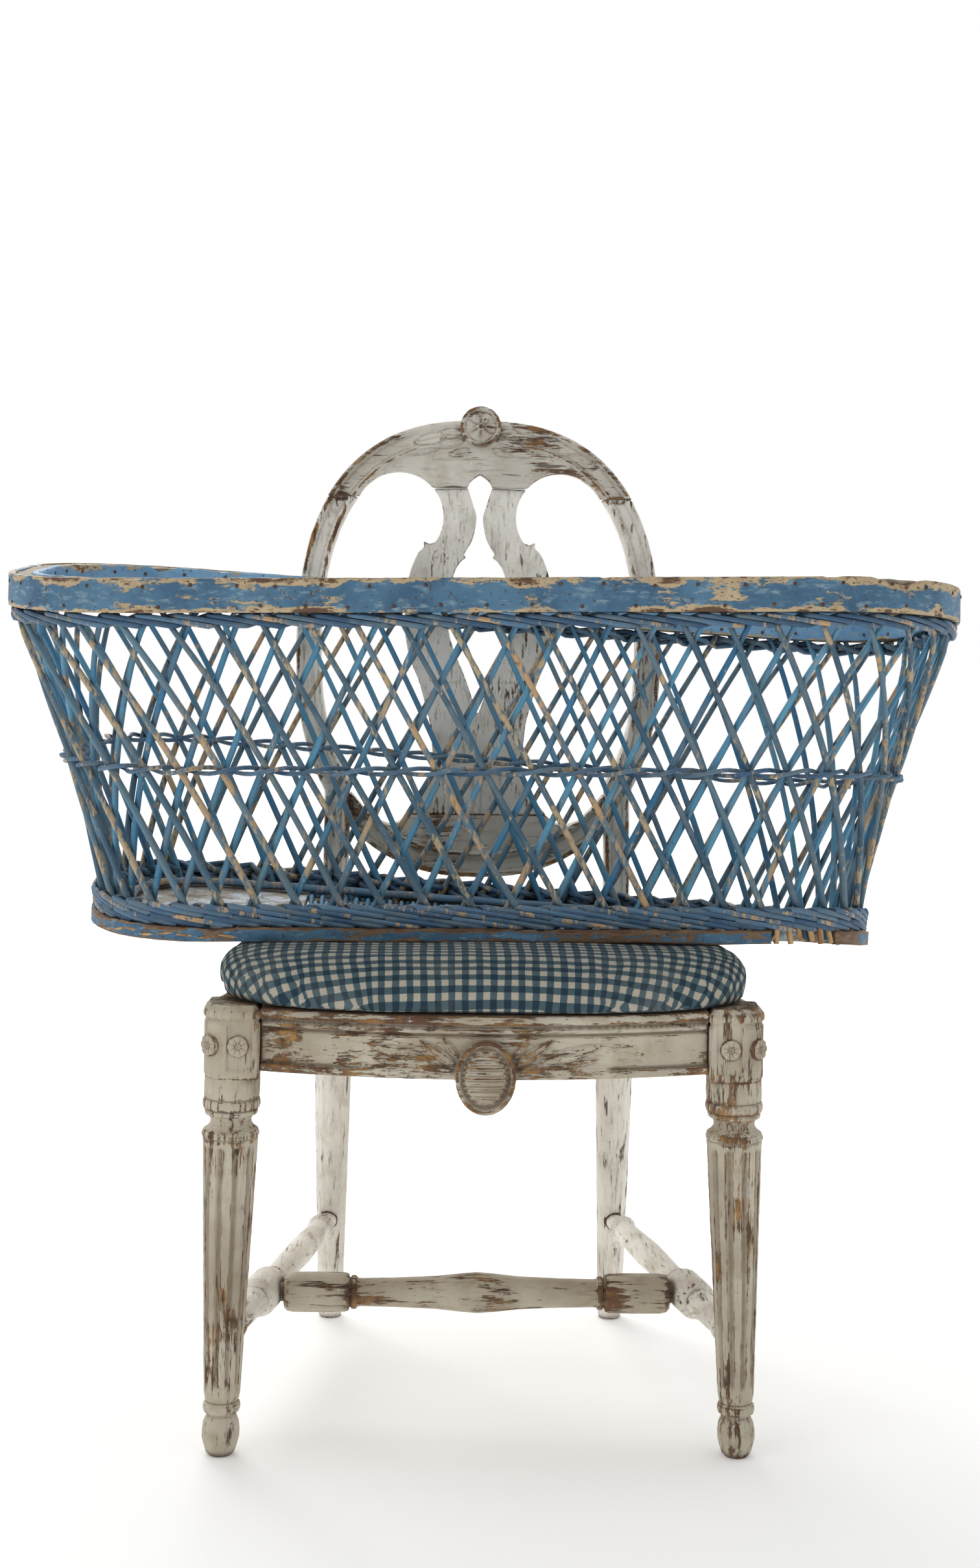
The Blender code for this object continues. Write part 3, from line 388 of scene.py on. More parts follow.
def gingham(name):
    """Blue and cream woven check: a square is dark where two blue stripes cross."""
    n = Nodes(name, 0.92)
    cloth = n.add("ShaderNodeAttribute", attribute_name="cloth").outputs["Vector"]
    waver = n.add("ShaderNodeTexNoise", {"Vector": cloth, "Scale": 22.0, "Detail": 2.0}).outputs["Color"]
    waver = n.vector("SCALE", n.vector("SUBTRACT", waver, (0.5, 0.5, 0.5)), 0.0027)
    cloth = n.vector("ADD", cloth, waver)
    parts = n.add("ShaderNodeSeparateXYZ", {0: cloth}).outputs
    stripes, threads = [], []
    for part in (parts[0], parts[1]):
        wave = n.math("FRACT", n.math("ADD", n.math("DIVIDE", part, GINGHAM_REPEAT), 100.0))
        distance = n.math("ABSOLUTE", n.math("SUBTRACT", wave, 0.5))
        stripes.append(n.step(distance, 0.262, 0.238))
        threads.append(n.math("SINE", n.math("MULTIPLY", part, 2 * math.pi / THREAD_REPEAT)))
    weave = n.math("MULTIPLY", threads[0], threads[1])
    slub = n.noise(1500.0, 2.0, cloth)
    cream = n.mix(slub, srgb(196, 188, 172), srgb(168, 160, 146))
    middle = n.mix(n.step(n.math("ADD", n.math("MULTIPLY", weave, 0.5), slub), 0.3, 0.9),
                   srgb(54, 82, 92), srgb(88, 108, 112))
    dark = n.mix(slub, srgb(8, 38, 54), srgb(24, 58, 74))
    both = n.math("MULTIPLY", stripes[0], stripes[1])
    either = n.math("MAXIMUM", stripes[0], stripes[1])
    colour = n.mix(both, n.mix(either, cream, middle), dark)
    worn = n.step(n.noise(18.0, 3.0), 0.45, 0.75)
    colour = n.mix(n.math("MULTIPLY", worn, 0.15), colour, srgb(170, 168, 160))
    # Painted shade and dirt: darker in folds and where the cloth meets other parts, by ambient occlusion.
    colour = n.grime_and_painted_shade(colour, srgb(30, 34, 38), 0.012, 0.6)
    return n.finish(colour, 0.92, n.bump(weave, 0.0004, 0.7))


UPRIGHT_PAINT = chalk_paint("chalk_paint_upright", (1.0, 1.0, 0.10))
LEVEL_PAINT = chalk_paint("chalk_paint_level", (0.10, 1.0, 1.0), 0.014, (srgb(218, 212, 200), srgb(196, 189, 176)))
# Darker, browner cream for the front legs and front rail: partly dirt, partly painted shade for the dimmer light on
# the chair's front.
FRONT_DIRTY_SHADED_TONES = (srgb(194, 186, 168), srgb(164, 153, 134))
FRONT_PAINT = chalk_paint("chalk_paint_front_legs", (1.0, 1.0, 0.10), 0.036, FRONT_DIRTY_SHADED_TONES)
RAIL_PAINT = chalk_paint("chalk_paint_front_rail", (0.10, 1.0, 1.0), 0.038, FRONT_DIRTY_SHADED_TONES)
DEEP_PAINT = chalk_paint("chalk_paint_lengthwise", (1.0, 0.10, 1.0))
RIM_PAINT = rim_paint("blue_rim_paint", -0.010)
INNER_PAINT = rim_paint("blue_inner_rim_paint", -0.060, blues=(srgb(84, 134, 176), srgb(128, 172, 204)))
BOARD_PAINT = rim_paint("pale_board_paint", -0.02, (srgb(176, 170, 156), srgb(120, 112, 100)),
                        (srgb(176, 190, 200), srgb(206, 212, 214)))
HOOP_PAINT = rim_paint("worn_foot_hoop_paint", 0.045, (srgb(140, 112, 80), srgb(78, 62, 50)))
OUTER_WICKER = wicker_paint("blue_wicker_outer", 0.024)
INNER_WICKER = wicker_paint("blue_wicker_inner", -0.02, (srgb(34, 102, 142), srgb(92, 154, 182)))
WALING_WICKER = wicker_paint("blue_wicker_waling", -0.03, (srgb(36, 72, 104), srgb(92, 128, 156)))
RAW_WOOD = bare_wood("raw_seat_wood", srgb(186, 150, 104), srgb(142, 104, 66))
WORN_TOP = bare_wood("worn_rim_top", srgb(178, 166, 142), srgb(122, 110, 98))
BROKEN_WOOD = bare_wood("broken_willow", srgb(196, 160, 112), srgb(118, 84, 56), (1.0, 1.0, 0.3))
JUTE = woven_jute("jute_webbing")
RUST = rusty_iron("rusty_iron")
CLOTH = gingham("gingham_cloth")


# ---------------------------------------------------------------- the bassinet's wall
def rounded_rectangle(turn, half_length, half_width, radius):
    """A point of a rounded rectangle, `turn` once round it by length from the middle of the front."""
    along, across, bend = half_length - radius, half_width - radius, math.pi / 2 * radius
    pieces = [along, bend, 2 * across, bend, 2 * along, bend, 2 * across, bend, along]
    rest = (turn % 1.0) * sum(pieces)
    number = 0
    while number < 8 and rest > pieces[number]:
        rest -= pieces[number]
        number += 1
    corners = {1: (along, -across), 3: (along, across), 5: (-along, across), 7: (-along, -across)}
    if number in corners:
        angle = rest / radius + math.radians(90 * (number // 2) - 90)
        x, y = corners[number]
        return Vector((x + radius * math.cos(angle), y + radius * math.sin(angle)))
    starts = {0: (0.0, -half_width), 2: (half_length, -across), 4: (along, half_width),
              6: (-half_length, across), 8: (-along, -half_width)}
    x, y = starts[number]
    angle = math.radians(90 * (number // 2))
    return Vector((x + rest * math.cos(angle), y + rest * math.sin(angle)))


def share_of(z):
    return (z - WALL_FOOT) / (WALL_HEAD - WALL_FOOT)


def flare_of(share):
    return max(0.0, min(1.0, share / FLARE_REACH)) ** FLARE_POWER


def wall_plan(turn, share):
    foot_turn = turn + FOOT_SPREAD / (4 * math.pi) * math.sin(4 * math.pi * turn)
    return rounded_rectangle(foot_turn, *FOOT).lerp(rounded_rectangle(turn, *HEAD), flare_of(share))


def settled(point):
    """The point moved with the twist of the old basket: nothing at its front, most at its back."""
    half_width = FOOT[1] + (HEAD[1] - FOOT[1]) * flare_of(share_of(point[2]))
    back_share = 0.5 + (point[1] - BASKET_Y) / (2 * half_width)
    rise = RIM_RISE * point[0] * max(0.0, share_of(point[2]))
    return Vector((point[0], point[1], point[2] + rise + back_share * (TWIST_MEAN + TWIST_RATE * point[0])))


def wall_at(turn, z, offset=0.0):
    """A point at the wall at a height, `offset` outwards from its middle."""
    share = share_of(z)
    ahead, behind = wall_plan(turn + 0.002, share), wall_plan(turn - 0.002, share)
    along = (ahead - behind).normalized()
    at = wall_plan(turn, share)
    return settled((at.x + along.y * offset, at.y + BASKET_Y - along.x * offset, z))


def stake_radius(share):
    return STAKE_RADIUS[0] + (STAKE_RADIUS[1] - STAKE_RADIUS[0]) * max(0.0, min(1.0, share))


def pulse(value, low, high):
    """0 below low, 1 above high, smooth between."""
    share = max(0.0, min(1.0, (value - low) / (high - low)))
    return share * share * (3 - 2 * share)


chance = random.Random(7)


def make_stakes(name, lean, layer, material):
    shape = Shape()
    low, high = FLOOR_BOTTOM + 0.001, RIM_TOP - 0.0035
    for number in range(STAKES):
        path, sway, size = [], chance.uniform(-0.10, 0.10), chance.uniform(0.93, 1.06)
        for i in range(25):
            z = low + (high - low) * i / 24
            share = share_of(z)
            turn = (number + lean * (share - 0.5) + sway * math.sin(math.pi * share)) / STAKES
            path.append(wall_at(turn, z, layer * (stake_radius(share) + LAYER_SPACE)))
        shape.tube(path, lambda t, size=size: size * stake_radius(t), 8, number + 60 * (layer > 0))
    panels = tuple(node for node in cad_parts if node.startswith(f"{name}_"))
    shape.build(name, material, "bassinet", panels)


def woven_rows(name, rows, strands, span, tall, radius, replaces=()):
    """Rods that wind round the stakes: each passes in front of the stakes for a share of its span."""
    shape = Shape()
    for row, (z, gap) in enumerate(rows):
        for strand in range(strands):
            path, steps = [], STAKES * 6
            for i in range(steps):
                turn = i / steps
                phase = (turn * STAKES / span + strand / strands) % 1.0
                if strands == 2:
                    across = gap * math.cos(2 * math.pi * phase)
                    across = math.copysign(min(abs(across) * 1.25, gap), across)
                    rise = tall * math.sin(2 * math.pi * phase)
                else:
                    inside = pulse(phase, OUTSIDE_SHARE, OUTSIDE_SHARE + 0.13) * (1 - pulse(phase, 0.90, 1.0))
                    across = gap * (1 - 2 * inside)
                    if phase < OUTSIDE_SHARE:
                        rise = tall * (1 - 2 * phase / OUTSIDE_SHARE)
                    else:
                        rise = tall * (2 * (phase - OUTSIDE_SHARE) / (1 - OUTSIDE_SHARE) - 1)
                jitter = wobble((turn * 40, strand * 3.0, row * 5.0), 1.0)
                path.append(wall_at(turn, z + rise + 0.0004 * jitter.x, across + 0.0003 * jitter.y))
            shape.tube(path, radius, 7, 130 + 10 * row + strand, closed=True)
    shape.build(name, WALING_WICKER, "bassinet", replaces)


def make_hoop(name, inner, outer, low, high, material, rough=0.0003, chips=(), ends=None):
    """A bentwood hoop. Each chip is (turn, half width in turns, depth from the top, depth from the outside)."""
    shape, rings = Shape(), []
    outline = [(0.0, 0.10), (0.10, 0.0), (0.9, 0.0), (1.0, 0.04)] + [(1.0, k / 8) for k in range(1, 8)]
    outline += [(1.0, 0.96), (0.88, 1.0), (0.5, 1.0), (0.12, 1.0), (0.0, 0.95)]
    outline += [(0.0, k / 6) for k in range(5, 0, -1)]
    start, end = ends or (0.0, 1.0)
    count = 540
    for i in range(count + (1 if ends else 0)):
        turn = start + (end - start) * i / count
        ring = []
        for a, b in outline:
            z = low + (high - low) * b
            offset = inner + (outer - inner) * a
            drift = wobble((turn * 30, a * 2, b * 2), 1.0, inner * 900)
            fine = wobble((turn * 160, a * 2, b * 3), 1.0, inner * 500)
            z += (rough * drift.x * 1.6 + rough * fine.x * (1.4 if b > 0.9 else 0.2))
            offset += rough * (0.9 * drift.y + 0.5 * fine.y)
            for where, half, top_cut, face_cut in chips:
                away = abs((turn - where + 0.5) % 1.0 - 0.5) / half
                if away < 1:
                    jag = (1 - away * away) * (0.75 + 0.5 * wobble((turn * 700, a, 1), 1.0).x)
                    z -= top_cut * jag * pulse(b, 0.5, 1.0)
                    offset -= math.copysign(face_cut * jag, outer) * pulse(b, 0.35, 0.8) * (
                        a if outer > 0 else 1 - a)
            ring.append(wall_at(turn, z, offset))
        rings.append(ring)
    shape.loft(rings, closed=not ends)
    shape.marks = [(0.0, number / len(rings), b) for number in range(len(rings)) for a, b in outline]
    shape.build(name, material, "bassinet", (name,), 60)


def make_weaving():
    woven_rows("middle_pairing", [((WALL_FOOT + WALL_HEAD) / 2, 0.0096)], 2, 2, 0.0027, 0.0021)
    woven_rows("top_waling_rods", [(WALL_HEAD - 0.0072, 0.0088)], 3, 2.25, 0.0050, 0.0026,
               ("top_waling_outer", "top_waling_inner"))
    woven_rows("bottom_waling_rods", [(0.4600, 0.0106), (0.4695, 0.0106)], 3, 2.25, 0.0046, 0.0027,
               ("bottom_waling_outer", "bottom_waling_inner"))


def make_hoops():
    chips = [(0.163, 0.012, 0.0065, 0.0045), (0.305, 0.006, 0.004, 0.0030), (0.135, 0.003, 0.0016, 0.002),
             (0.86, 0.004, 0.002, 0.0022), (0.045, 0.002, 0.0012, 0.001), (0.955, 0.0025, 0.001, 0.0015),
             (0.72, 0.005, 0.0022, 0.0015), (0.25, 0.004, 0.002, 0.002), (0.55, 0.003, 0.0015, 0.001)]
    make_hoop("rim_outer_hoop", HOOP_GAP, HOOP_OUTSIDE, WALL_HEAD, RIM_TOP, RIM_PAINT, chips=chips)
    chips = [(0.648, 0.007, 0.0060, 0.0030), (0.41, 0.004, 0.003, 0.002), (0.62, 0.005, 0.002, 0.002),
             (0.09, 0.003, 0.0014, 0.001)]
    make_hoop("rim_inner_hoop", -HOOP_OUTSIDE, -HOOP_GAP, WALL_HEAD, RIM_TOP, INNER_PAINT, chips=chips)
    make_hoop("rim_filler", 0.0004 - HOOP_GAP, HOOP_GAP - 0.0004, RIM_TOP - 0.006, RIM_TOP - 0.0012, WORN_TOP, 0.0009)
    chips = [(0.02, 0.01, 0.002, 0.001), (0.88, 0.01, 0.002, 0.001), (0.30, 0.02, 0.002, 0.001)]
    make_hoop("base_hoop", 0.0098, 0.0150, BASE_Z, 0.4548, HOOP_PAINT, 0.0009, chips, (-0.835, 0.128))


def make_nails():
    nails = Shape()
    for number in range(STAKES):
        for height, lift in ((0.7475, 0), (0.7660, 1)):
            if chance.random() < 0.12:
                continue
            for offset, spin in ((HOOP_OUTSIDE + 0.0001, 1), (-HOOP_OUTSIDE - 0.0001, -1)):
                turn = (number + 0.5 * lift + chance.uniform(-0.12, 0.12)) / STAKES
                z = height + chance.uniform(-0.0012, 0.0012)
                centre = wall_at(turn, z, offset)
                out = (wall_at(turn, z, offset + 0.002 * spin) - centre).normalized()
                side = out.cross(Vector((0, 0, 1))).normalized()
                up = side.cross(out)
                rings = []
                for size, lift_out in ((0.0017, -0.0008), (0.0017, 0.0003), (0.0012, 0.0007), (0.0004, 0.0009)):
                    rings.append([centre + out * lift_out + side * (size * math.cos(k * math.pi / 4))
                                  + up * (size * math.sin(k * math.pi / 4)) for k in range(8)])
                nails.loft(rings)
    nails.build("rim_nails", RUST, "bassinet")


def make_floor():
    ring = Shape()
    path = [wall_at(i / 240, 0.4590 + 0.0004 * math.sin(i * 0.9), -0.0205) for i in range(240)]
    ring.tube(path, 0.0038, 10, 190, closed=True)
    ring.build("base_ring", WALING_WICKER, "bassinet", ("base_ring",))

    weave, width, middle_z = Shape(), FOOT[1] - 0.0105, (FLOOR_BOTTOM + FLOOR_TOP) / 2
    rows = int((BOARD_EDGES[1] - BOARD_EDGES[0] - 0.006) / WEAVE_SPACING)
    for row in range(rows):
        x = BOARD_EDGES[0] + 0.004 + WEAVE_SPACING * row
        path = []
        for i in range(41):
            y = -width + 2 * width * i / 40
            lift = 0.0036 * math.cos(math.pi * y / STICK_SPACING) * (-1 if row % 2 else 1)
            path.append(settled((x + 0.0004 * math.sin(31 * y + row), BASKET_Y + y, middle_z + lift)))
        weave.tube(path, 0.0024, 6, 200 + row)
    weave.build("base_weave", INNER_WICKER, "bassinet", ("base_weave",))
    for number in range(5):
        stick, name, y = Shape(), f"base_stick_{number + 1}", STICK_SPACING * (number - 2)
        stick.tube([settled((BOARD_EDGES[0] + 0.001 + 0.388 * i / 12, BASKET_Y + y, middle_z)) for i in range(13)],
                   0.0022, 8, 300 + number)
        stick.build(name, INNER_WICKER, "bassinet", (name,))


def make_broken_ends():
    """Bare stubs of broken rods at the foot's right end, and splinters there and at its left end."""
    shape = Shape()
    for k in range(11):
        turn = 0.124 + 0.0066 * k + chance.uniform(-0.0012, 0.0012)
        head = wall_at(turn, 0.4570, 0.0085)
        foot = wall_at(turn, 0.4428 + chance.uniform(-0.0010, 0.0030), 0.0105 + chance.uniform(-0.001, 0.002))
        foot.x += chance.uniform(-0.0025, 0.0025)
        size = chance.uniform(0.0024, 0.0034)
        shape.tube([head, head.lerp(foot, 0.5), foot], lambda t, size=size: size * (1 - 0.12 * t), 8, 400 + k)
    for k in range(7):
        turn = 0.120 + 0.011 * k
        start = wall_at(turn, 0.4480 + chance.uniform(-0.002, 0.003), 0.0090)
        end = wall_at(turn + chance.uniform(-0.006, 0.006), 0.4430 + chance.uniform(0.0, 0.004), 0.0150)
        shape.tube([start, start.lerp(end, 0.6), end], lambda t: 0.0014 - 0.0008 * t * t, 6, 420 + k)
    for k in range(8):
        turn = -0.175 + 0.010 * k
        start = wall_at(turn, 0.4470 + chance.uniform(-0.002, 0.003), 0.0130)
        end = wall_at(turn - 0.012, 0.4440 + chance.uniform(0.0, 0.006), 0.0165)
        shape.tube([start, start.lerp(end, 0.6), end], lambda t: 0.0016 - 0.0010 * t * t, 6, 440 + k)
    shape.build("broken_rod_ends", BROKEN_WOOD, "bassinet")


def make_bassinet():
    make_stakes("outer_stakes", OUTER_LEAN, 1, OUTER_WICKER)
    make_stakes("inner_stakes", INNER_LEAN, -1, INNER_WICKER)
    make_weaving()
    make_hoops()
    make_nails()
    make_floor()
    make_broken_ends()


# ---------------------------------------------------------------- the chair
def spline(points, steps=6):
    """A smooth curve through the points, in x and z."""
    found = []
    for i, (a, b) in enumerate(zip(points, points[1:])):
        before, after = points[max(0, i - 1)], points[min(len(points) - 1, i + 2)]
        for k in range(steps):
            t = k / steps
            found.append(tuple(0.5 * (2 * q + (r - p) * t + (2 * p - 5 * q + 4 * r - u) * t * t
                                      + (3 * q - p - 3 * r + u) * t ** 3)
                               for p, q, r, u in zip(before, a, b, after)))
    return found + [points[-1]]


def arc(centre, radius, start, end, count=16):
    """Points on a circle in x and z, from one angle to another in degrees."""
    turns = [math.radians(start + (end - start) * i / count) for i in range(count + 1)]
    return [(centre[0] + radius * math.cos(turn), centre[1] + radius * math.sin(turn)) for turn in turns]


def plates(*halves):
    """Plates in the leaning plane of the back, each given as its outline's right half, its front and its back."""
    points, faces = [], []
    for half, front, back in halves:
        outline = half + [(-x, z) for x, z in reversed(half) if abs(x) > 1e-9]
        first, count = len(points), len(outline)
        points += [(x, leg_y(z) + depth, z) for depth in (front, back) for x, z in outline]
        faces += [tuple(range(first, first + count)), tuple(reversed(range(first + count, first + 2 * count)))]
        faces += [(first + i, first + count + i, first + count + (i + 1) % count, first + (i + 1) % count)
                  for i in range(count)]
    return closed_mesh("plates", points, faces)


def splat_outline():
    inside = spline([(0.0, 0.6246), (0.013, 0.662), (0.023, 0.686), (0.031, 0.710), (0.033, 0.740), (0.0270, 0.772),
                     (0.0205, 0.7850), (0.0140, 0.7905)])
    inside += spline([(0.0165, 0.7940), (0.0075, 0.810), (0.0036, 0.832), (0.0070, 0.846), (NOTCH_HALF_WIDTH, 0.8647)])
    lobe = arc(LOBE_CENTRE, LOBE_RADIUS, 140.5, 214)
    beak = [(0.0530, 0.8045), (0.0595, 0.8075)]
    outside = [(0.0585, 0.8015), (0.0665, 0.7920), (0.0742, 0.7705), (0.0780, 0.740), (0.0775, 0.710),
               (0.0720, 0.683), (0.0630, 0.662), (0.0560, 0.638), (0.0500, 0.615), (0.0470, 0.580),
               (0.0500, 0.560), (0.0580, 0.542), (0.0720, 0.523)]
    return plates((inside + lobe + beak + spline(outside), -SPLAT_HALF_DEPTH, SPLAT_HALF_DEPTH))


def crest_outline():
    power, half_depth = OVAL_POWERS[0], BACK_HALF_DEPTH

    def end_of(inset):
        return math.asin(((CREST_JOINT_Z - OVAL_Z) / (OVAL_UP - inset)) ** (power / 2))

    last = end_of(0.0)
    turns = [math.pi / 2 - (math.pi / 2 - last) * i / 48 for i in range(49)]
    outer = [(OVAL_HALF_WIDTH * max(0.0, math.cos(turn)) ** (2 / power),
              OVAL_Z + OVAL_UP * math.sin(turn) ** (2 / power)) for turn in turns]
    outer[0] = (0.0, outer[0][1])
    inner_x = (OVAL_HALF_WIDTH - OVAL_BAND) * math.cos(end_of(OVAL_BAND)) ** (2 / power)
    opening = spline([(inner_x, CREST_JOINT_Z), (0.1215, 0.865)] + arc(LOBE_CENTRE, LOBE_RADIUS, 62, 139, 6))
    notch = spline([(NOTCH_HALF_WIDTH, 0.8653), (0.0110, 0.870), (0.0060, 0.875), (0.0, 0.879)])
    disc = arc((0.0, MEDALLION_Z), MEDALLION_RADIUS, 90, -90, 36)
    disc[0], disc[-1] = (0.0, disc[0][1]), (0.0, disc[-1][1])
    return plates((outer + opening + notch, -half_depth, half_depth), (disc, -half_depth - 0.003, half_depth - 0.002))


def front_face(x):
    share = x / (LEG_X - BLOCK_HALF)
    return LEG_Y - BLOCK_HALF + FACE_INSET - FRONT_BOW * (1 - share * share)


def side_face(y):
    front_y, front_x = LEG_Y + BLOCK_HALF, LEG_X + BLOCK_HALF - FACE_INSET
    rear_y, rear_x = REAR_Y - REAR_HALF_DEPTH, REAR_X + REAR_FACE
    return front_x + (rear_x - front_x) * (y - front_y) / (rear_y - front_y)


def leg_y(z):
    if z < RAIL_BOTTOM:
        return REAR_FOOT_Y + (REAR_Y - REAR_FOOT_Y) * z / RAIL_BOTTOM
    return REAR_Y + max(0.0, z - SEAT_TOP) * RAKE


def oval_inset(x, z):
    """Distance in from the outside of the oval back."""
    tall, power = (OVAL_UP, OVAL_POWERS[0]) if z >= OVAL_Z else (OVAL_DOWN, OVAL_POWERS[1])
    a, b = abs(x) / OVAL_HALF_WIDTH, abs(z - OVAL_Z) / tall
    level = max(1e-6, a ** power + b ** power)
    radius = level ** (1 / power)
    slope = math.hypot(a ** (power - 1) / OVAL_HALF_WIDTH, b ** (power - 1) / tall) * level ** (1 / power - 1)
    return (1 - radius) / max(slope, 1e-6)


def ridge(value, centre, half):
    """A rounded ridge: 1 at its centre and 0 from `half` away."""
    share = abs(value - centre) / half
    return math.sqrt(1 - share * share) if share < 1 else 0.0


def leaves(along, across, lobes=5.0):
    """Height of a leaf spray, 0 to 1: along runs 0 to 1 from its root, across runs -1 to 1."""
    if not 0 < along < 1:
        return 0.0
    width = math.sin(math.pi * min(1.0, along * 1.15 + 0.12)) ** 0.6 * (1 - 0.35 * along)
    share = abs(across) / max(width, 1e-3)
    tips = 0.78 + 0.22 * math.cos(2 * math.pi * (along * lobes - share * 0.9))
    if share > tips:
        return 0.0
    blade = (1 - (share / tips) ** 2) ** 0.5
    veins = 0.5 + 0.5 * math.cos(2 * math.pi * (along * lobes - share * 0.9))
    stem = ridge(share, 0.0, 0.16)
    return min(1.0, blade * (0.45 + 0.55 * veins) + 0.35 * stem)


def almond_leaves(x, z, blades):
    """Height of pointed leaves, 0 to 1, each from a root to a tip with a half width and a vein."""
    best = 0.0
    for x0, z0, x1, z1, half in blades:
        length = math.hypot(x1 - x0, z1 - z0)
        ux, uz = (x1 - x0) / length, (z1 - z0) / length
        along = ((x - x0) * ux + (z - z0) * uz) / length
        if 0 < along < 1:
            across = (z - z0) * ux - (x - x0) * uz
            width = half * math.sin(math.pi * along ** 0.8) ** 0.8
            share = abs(across) / max(width, 1e-4)
            if share < 1:
                best = max(best, 0.9 * (1 - share * share) ** 0.5 - 0.35 * ridge(share, 0.0, 0.22))
    return best


def facing(normal, low=0.35, high=0.8):
    """How far a surface faces the front."""
    return pulse(-normal.y, low, high)


def hoop_profile(inset):
    """The oval's band has a bead on both edges and a hollow between."""
    beads = 0.0024 * (ridge(inset, 0.0040, 0.0034) + ridge(inset, OVAL_BAND - 0.0040, 0.0034))
    hollow = 0.0050 * ridge(inset, OVAL_BAND / 2, 0.0090)
    return beads - hollow


def crest_relief(point, normal):
    front = facing(normal)
    if front == 0:
        return normal * 0.0
    x, z = point.x, point.z
    inset = oval_inset(x, z)
    away = math.hypot(x, z - MEDALLION_Z)
    height = 0.0
    if away < MEDALLION_RADIUS * 1.02:
        share = away / MEDALLION_RADIUS
        angle = math.atan2(z - MEDALLION_Z, x)
        petals = ridge(share, 0.46, 0.30) * (0.55 + 0.45 * math.cos(6 * angle))
        height = 0.0014 * ridge(share, 0.90, 0.13) - 0.0030 * ridge(share, 0.42, 0.44)
        height += 0.0030 * petals + 0.0032 * ridge(share, 0.0, 0.20)
    elif inset < OVAL_BAND * 1.02:
        height = hoop_profile(inset) * (0.35 + 0.65 * pulse(abs(x), 0.064, 0.086))
    else:
        height = -0.0010 * pulse(inset, OVAL_BAND, OVAL_BAND + 0.003)
    if away > MEDALLION_RADIUS:
        height += 0.0026 * almond_leaves(abs(x), z, CREST_LEAVES)
    return normal * (height * front)


def stile_relief(point, normal):
    x, z = abs(point.x), point.z
    front = facing(normal)
    if z < 0.40 or front == 0:
        angle = math.atan2(point.y - leg_y(z), x - REAR_X)
        return normal * (-0.0006 * (0.5 + 0.5 * math.cos(10 * angle)) if 0.03 < z < 0.30 else 0.0)
    inset = REAR_X + OVAL_BAND / 2 - x if z < 0.546 else oval_inset(x, z)
    return normal * (hoop_profile(inset) * front * pulse(z, 0.42, 0.46))


def lower_rail_relief(point, normal):
    front = facing(normal)
    inset = oval_inset(point.x, point.z)
    shown = hoop_profile(inset) if inset < OVAL_BAND else -0.0008
    return normal * (shown * front)


def splat_relief(point, normal):
    front = facing(normal)
    x, z = abs(point.x), point.z
    middle = 0.055 if z > 0.66 else 0.028
    groove = ridge(x, middle, 0.012)
    line = 0.0012 * ridge(x, 0.004, 0.0022) * pulse(z, 0.60, 0.55)
    carved = 0.0012 * leaves((0.845 - z) / 0.05, (x - 0.022) / 0.014, 3.0)
    return normal * ((-0.0014 * groove + carved - line) * front)


RAIL_LEAVES = ((0.026, 0.3520, 0.058, 0.3740, 0.0046), (0.048, 0.3555, 0.102, 0.3690, 0.0056),
               (0.028, 0.3470, 0.072, 0.3545, 0.0040), (0.060, 0.3520, 0.098, 0.3570, 0.0036),
               (0.024, 0.3590, 0.038, 0.3765, 0.0032))
CREST_LEAVES = ((0.020, 0.9240, 0.046, 0.9225, 0.0048), (0.038, 0.9205, 0.072, 0.9125, 0.0058),
                (0.018, 0.9150, 0.050, 0.9080, 0.0044), (0.044, 0.9085, 0.082, 0.9000, 0.0044),
                (0.012, 0.9060, 0.034, 0.8990, 0.0036))


def front_rail_relief(point, normal):
    front = facing(normal, 0.3, 0.7)
    x, z = point.x, point.z
    if front == 0:
        return normal * 0.0
    share = math.hypot(x / RAIL_MEDALLION_WIDTH, (z - RAIL_MEDALLION_Z) / RAIL_MEDALLION_HEIGHT)
    if share < 1.03:
        dome = 0.0030 * max(0.0, 1 - (share / 0.78) ** 2)
        reeds = 0.0009 * math.cos(2 * math.pi * (z - RAIL_MEDALLION_Z) / 0.0045) if share < 0.76 else 0.0
        height = 0.0014 * ridge(share, 0.91, 0.09) - 0.0026 * ridge(share, 0.78, 0.10) + dome + reeds
        return normal * (height * front)
    height = 0.0024 * pulse(z, 0.3872, 0.3888) * (1 - pulse(z, 0.3935, 0.3965))
    height -= 0.0024 * ridge(z, 0.3855, 0.0020)
    height += 0.0016 * ridge(z, 0.3815, 0.0024) - 0.0020 * ridge(z, 0.3780, 0.0016)
    ends = pulse(abs(x), 0.100, 0.112)
    height += ends * (0.0016 * ridge(z, 0.3445, 0.0034) - 0.0024 * ridge(z, 0.3490, 0.0017))
    height += 0.0027 * almond_leaves(abs(x), z, RAIL_LEAVES)
    return normal * (height * front)


def side_rail_relief(point, normal):
    out = pulse(abs(normal.x), 0.4, 0.8)
    z = point.z
    height = -0.0014 * ridge(z, 0.3805, 0.0022) + 0.0008 * ridge(z, 0.3765, 0.0019) - 0.0012 * ridge(z, 0.350, 0.002)
    return normal * (height * out)


